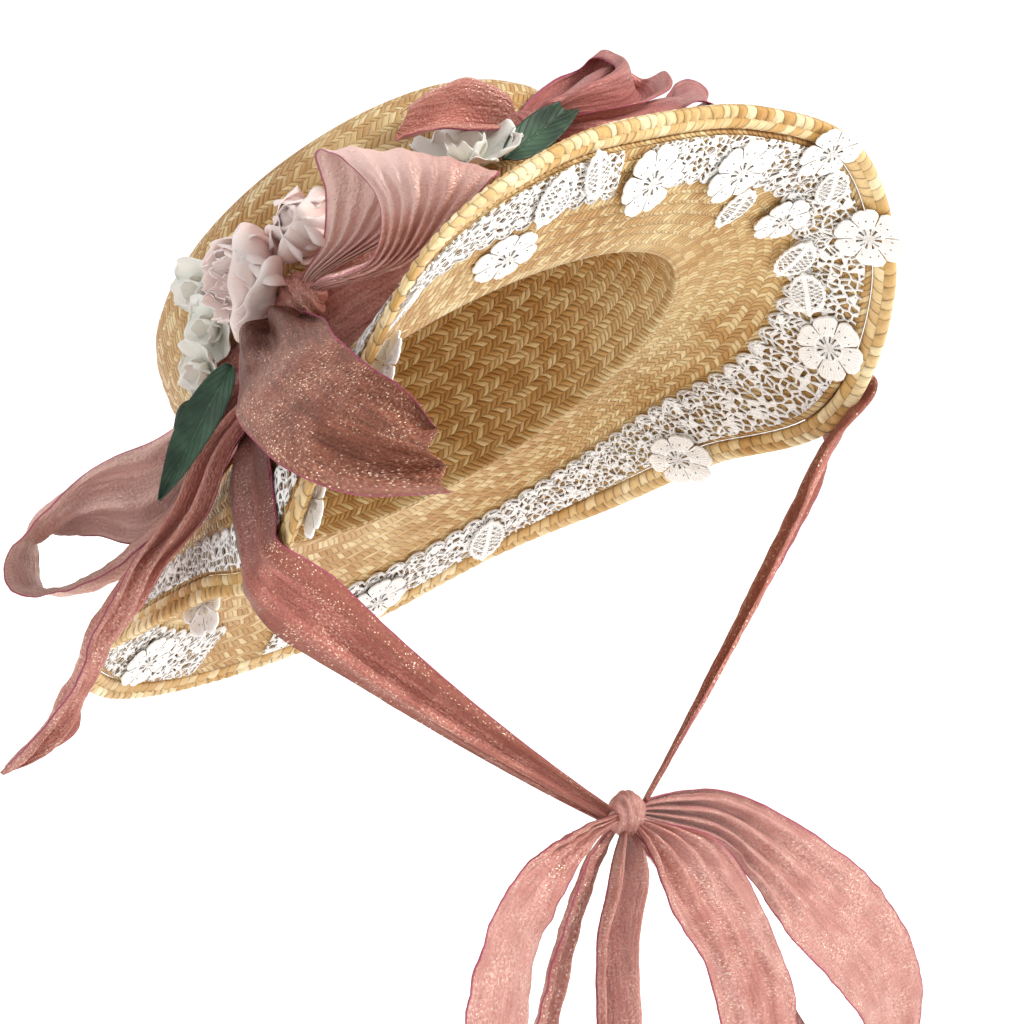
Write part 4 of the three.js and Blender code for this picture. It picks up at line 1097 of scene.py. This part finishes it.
# %% Petal finishes
def petal_finish(name, pale, deep, vein):
    finish = Finish(name, Roughness=0.62, Sheen_Weight=0.4, Specular_IOR_Level=0.3, Subsurface_Weight=0.12)
    finish.feed(Subsurface_Scale=4 * MM)
    across, along = finish.map()
    fan = abs(across - 0.5) * 2
    veins = finish.noise(finish.join((across - 0.5) * 60, along * 3), 1.0, 2.0)
    cloud = finish.noise(finish.object_place(), 60.0, 2.0)
    colour = finish.mix((1 - along).step(0.1, 0.95), shade(pale), shade(deep))
    colour = finish.mix(veins.step(0.52, 0.75) * 0.3, colour, shade(vein))
    colour = finish.mix(cloud.step(0.4, 0.7) * 0.25, colour, shade(pale))
    colour = finish.mix((along * fan).step(0.75, 1) * 0.4, colour, shade(pale))
    finish.feed(Base_Color=colour, Normal=finish.bump(veins, 0.4 * MM, 0.6))
    return finish.material


PINK = petal_finish("rose_silk", "fcebe7", "eab4aa", "efcac2")
WHITE = petal_finish("white_silk", "f3f1eb", "dcd8c8", "e4e0d6")


# %% [markdown]
# A silk flower is built up petal by petal, in rings round a heart. Each ring is one row of numbers, so
# an open rose and a closed bud come from the same few lines.

# %% Lay petals round a heart
PETAL_WALL = 0.4 * MM


def tilted(seat, aside, above):
    """The same place, with a flower turned to face along and up from it."""
    origin, along, up, out = seat
    facing = (out + along * aside + up * above).normalized()
    level = up.cross(facing).normalized()
    return origin, level, facing.cross(level), facing


def petal(mesh, seat, turn, shape, radius, seed):
    """One petal: (lean, length, width, cup, curl, fringe), with sizes in shares of the radius."""
    lean, size, broad, cup, curl, fringe = shape
    origin, along, up, out = seat
    turned = math.radians(turn)
    away = along * math.cos(turned) + up * math.sin(turned)
    side = up * math.cos(turned) - along * math.sin(turned)

    def place(u, v):
        aside = 2 * u - 1
        wide = broad * math.sin(math.pi * (0.12 + 0.62 * v)) ** 0.8 * aside
        tooth = abs((aside * 4.5 + 0.3 * math.sin(seed + 9 * aside)) % 1 - 0.5) * 2
        reach = size * (v - 0.32 * v ** 3 * abs(aside) ** 3 - fringe * v ** 6 * tooth)
        bend = math.radians(lean) + cup * v
        ruffle = 0.05 * math.sin(6 * aside + seed) * v * v
        ruffle += 0.05 * noise.noise(Vector((aside * 2, v * 3, seed)))
        inward = curl * wide * wide * 0.5
        far = away * (reach * math.cos(bend) - inward * math.sin(bend)) + side * wide
        rise = reach * math.sin(bend) + inward * math.cos(bend) * 0.6 + ruffle
        return origin + (far + out * rise) * radius

    lay(mesh, 14, 14, place)


def bloom(name, seats, radius, rings, finish, slot, node):
    mesh = bmesh.new()
    for i, seat in enumerate(seats):
        seed = 11 * i
        for count, start, *shape in rings:
            for k in range(count):
                seed += 1.3
                turn = start + 360 * k / count + 7 * math.sin(seed * 2.7)
                petal(mesh, seat, turn, shape, radius, seed)
    finish_piece(mesh, name, finish, slot, [node], PETAL_WALL)


# %% [markdown]
# The rose faces the back of the hat, with two big petals folded over it from the front. The bud beside
# it is closed. The small white blossoms lie open, three at the side and one at the top.

# %% Rose, bud and blossoms
# count, first turn, lean, length, width, cup, curl, fringe
ROSE_RINGS = (
    (1, -35, 24, 1.2, 0.95, 0.8, 0.8, 0),
    (1, 35, 20, 1.1, 0.85, 0.75, 0.8, 0),
    (2, 100, 14, 1.2, 0.8, 0.7, 0.9, 0.03),
    (1, 155, 22, 1.15, 0.5, 0.5, 1, 0.14),
    (1, 205, 22, 1.15, 0.5, 0.5, 1, 0.14),
    (5, 56, 28, 1.24, 0.62, 0.55, 1, 0.14),
    (5, 10, 44, 1.12, 0.46, 0.4, 1, 0.18),
    (4, 60, 60, 0.95, 0.3, 0.25, 1.2, 0.2),
)
BUD_RINGS = (
    (5, 20, 36, 1.3, 0.8, 0.8, 1, 0.04),
    (5, 50, 60, 1.2, 0.62, 0.7, 1, 0.1),
    (5, 15, 78, 1, 0.5, 0.6, 1, 0.12),
)
BLOSSOM_RINGS = (
    (5, 10, 4, 1.1, 0.62, 0.3, 0.3, 0),
    (4, 40, 36, 0.7, 0.4, 0.4, 0.7, 0),
)
TOP_RINGS = ((6, 10, 4, 1.1, 0.5, 0.3, 0.3, 0), (4, 40, 30, 0.6, 0.3, 0.4, 0.6, 0))
rose_seat = tilted(crown_seat(-66, 41 * MM, 4 * MM), -0.55, 0.2)
bud_seat = tilted(crown_seat(-53, 46 * MM, 2 * MM), -0.2, 0.2)
top_seat = tilted(crown_seat(-20, 41 * MM, 12 * MM), 0, 1)
white_seats = [
    tilted(crown_seat(angle, height * MM, out * MM), -0.2, 0)
    for angle, height, out in ((-84, 58, 1), (-85, 43, 2), (-91, 32, 3))
]
bloom("silk_rose", [rose_seat], 22 * MM, ROSE_RINGS, PINK, "rose", "rose")
bloom("silk_rosebud", [bud_seat], 18 * MM, BUD_RINGS, PINK, "rose", "rosebud")
bloom("silk_white_blossoms", white_seats, 13 * MM, BLOSSOM_RINGS, WHITE, "white_petals", "white_blossoms")
bloom("silk_top_blossom", [top_seat], 20 * MM, TOP_RINGS, WHITE, "white_petals", "top_blossom")

# %% [markdown]
# The leaves are waxed cloth, folded a little along the midrib, with side veins pressed in.

# %% Leaves
def leaf_finish():
    finish = Finish("leaf_cloth", Roughness=0.55, Specular_IOR_Level=0.4)
    across, along = finish.map()
    aside = abs(across - 0.5)
    rib = 1 - aside.step(0.0, 0.05)
    veins = 1 - abs((along * 9 - aside * 5).part() - 0.5).step(0.0, 0.14)
    mottle = finish.noise(finish.object_place(), 90.0, 3.0)
    colour = finish.mix(mottle.step(0.35, 0.7), shade("22382b"), shade("41604a"))
    colour = finish.mix((rib * 0.5 + veins * 0.25).held(), colour, shade("6c8467"))
    finish.feed(Base_Color=colour, Normal=finish.bump(veins * -0.6 - rib + mottle * 0.3, 0.5 * MM))
    return finish.material


LEAF = leaf_finish()
LEAF_WALL = 0.5 * MM
LEAF_FOLD = 2.2 * MM


def leaf(name, seat, start, end, width, lift, node):
    out = seat[3]
    begin = at_seat(seat, start, RIBBON_WIDTH)
    run = at_seat(seat, end, RIBBON_WIDTH) - begin
    across = run.cross(out).normalized()

    def place(u, v):
        aside = 2 * u - 1
        outline = math.sin(math.pi * min(0.03 + 0.97 * v ** 0.75, 1)) ** 0.8 + 0.03
        wide = 0.5 * width * RIBBON_WIDTH * outline
        rise = lift * math.sin(math.pi * v) * MM + LEAF_FOLD * abs(aside) ** 1.2
        rise += 0.4 * MM * math.sin(9 * v + 3 * aside)
        return begin + run * v + across * aside * wide + out * rise

    strip_piece(name, 40, 14, place, None, LEAF, "leaf", [node], LEAF_WALL)


leaf("green_long_leaf", SIDE_SEAT, (-0.66, -0.2, 0.38), (-1.6, -0.82, 0.61), 0.3, 1, "long_leaf")
leaf("green_small_leaf", SIDE_SEAT, (-1.25, -0.12, -0.32), (-1.64, -0.06, -0.52), 0.28, 1, "small_leaf")
leaf("green_top_leaf", TOP_SEAT, (-0.66, -0.34, 0.34), (0.42, 0.02, 0.4), 0.27, 1, "top_leaf")

# %% [markdown]
# The bonnet is shown as it is worn, so it hangs above a plain pale floor. The floor is a wide
# sheet, and the air round it is nearly white, which gives the soft light of a studio.

# %% Floor and light
FLOOR_GAP = 12 * MM
FLOOR_SIZE = 30
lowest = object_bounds()[0][2]
mesh = bmesh.new()
bmesh.ops.create_grid(mesh, x_segments=1, y_segments=1, size=FLOOR_SIZE)
data = bpy.data.meshes.new("floor")
mesh.to_mesh(data)
mesh.free()
floor = bpy.data.objects.new("floor", data)
floor.location.z = lowest - FLOOR_GAP
bpy.context.scene.collection.objects.link(floor)
pale = Finish("pale_floor", Base_Color=shade("f4f3f1"), Roughness=0.9, Specular_IOR_Level=0.1)
pale.feed(Emission_Color=shade("ffffff"), Emission_Strength=0.42)
data.materials.append(pale.material)


LIT_SPOT = Vector((0, 0, -0.05))


def lamp(name, place, size, power, colour):
    light = bpy.data.lights.new(name, "AREA")
    light.size = size
    light.energy = power
    light.color = colour
    lit = bpy.data.objects.new(name, light)
    lit.location = place
    lit.rotation_euler = (Vector(place) - LIT_SPOT).to_track_quat("Z", "Y").to_euler()
    bpy.context.scene.collection.objects.link(lit)


lamp("key", (1.1, -1.5, 1.4), 0.7, 46, (1, 0.96, 0.9))
lamp("rim_light", (-0.3, 1.6, 1.2), 1.0, 12, (1, 1, 1))
air = bpy.data.worlds.new("air")
air.use_nodes = True
air.node_tree.nodes["Background"].inputs[0].default_value = (1, 0.99, 0.98, 1)
air.node_tree.nodes["Background"].inputs[1].default_value = 0.72
bpy.context.scene.world = air
bpy.context.scene.view_settings.view_transform = "Standard"
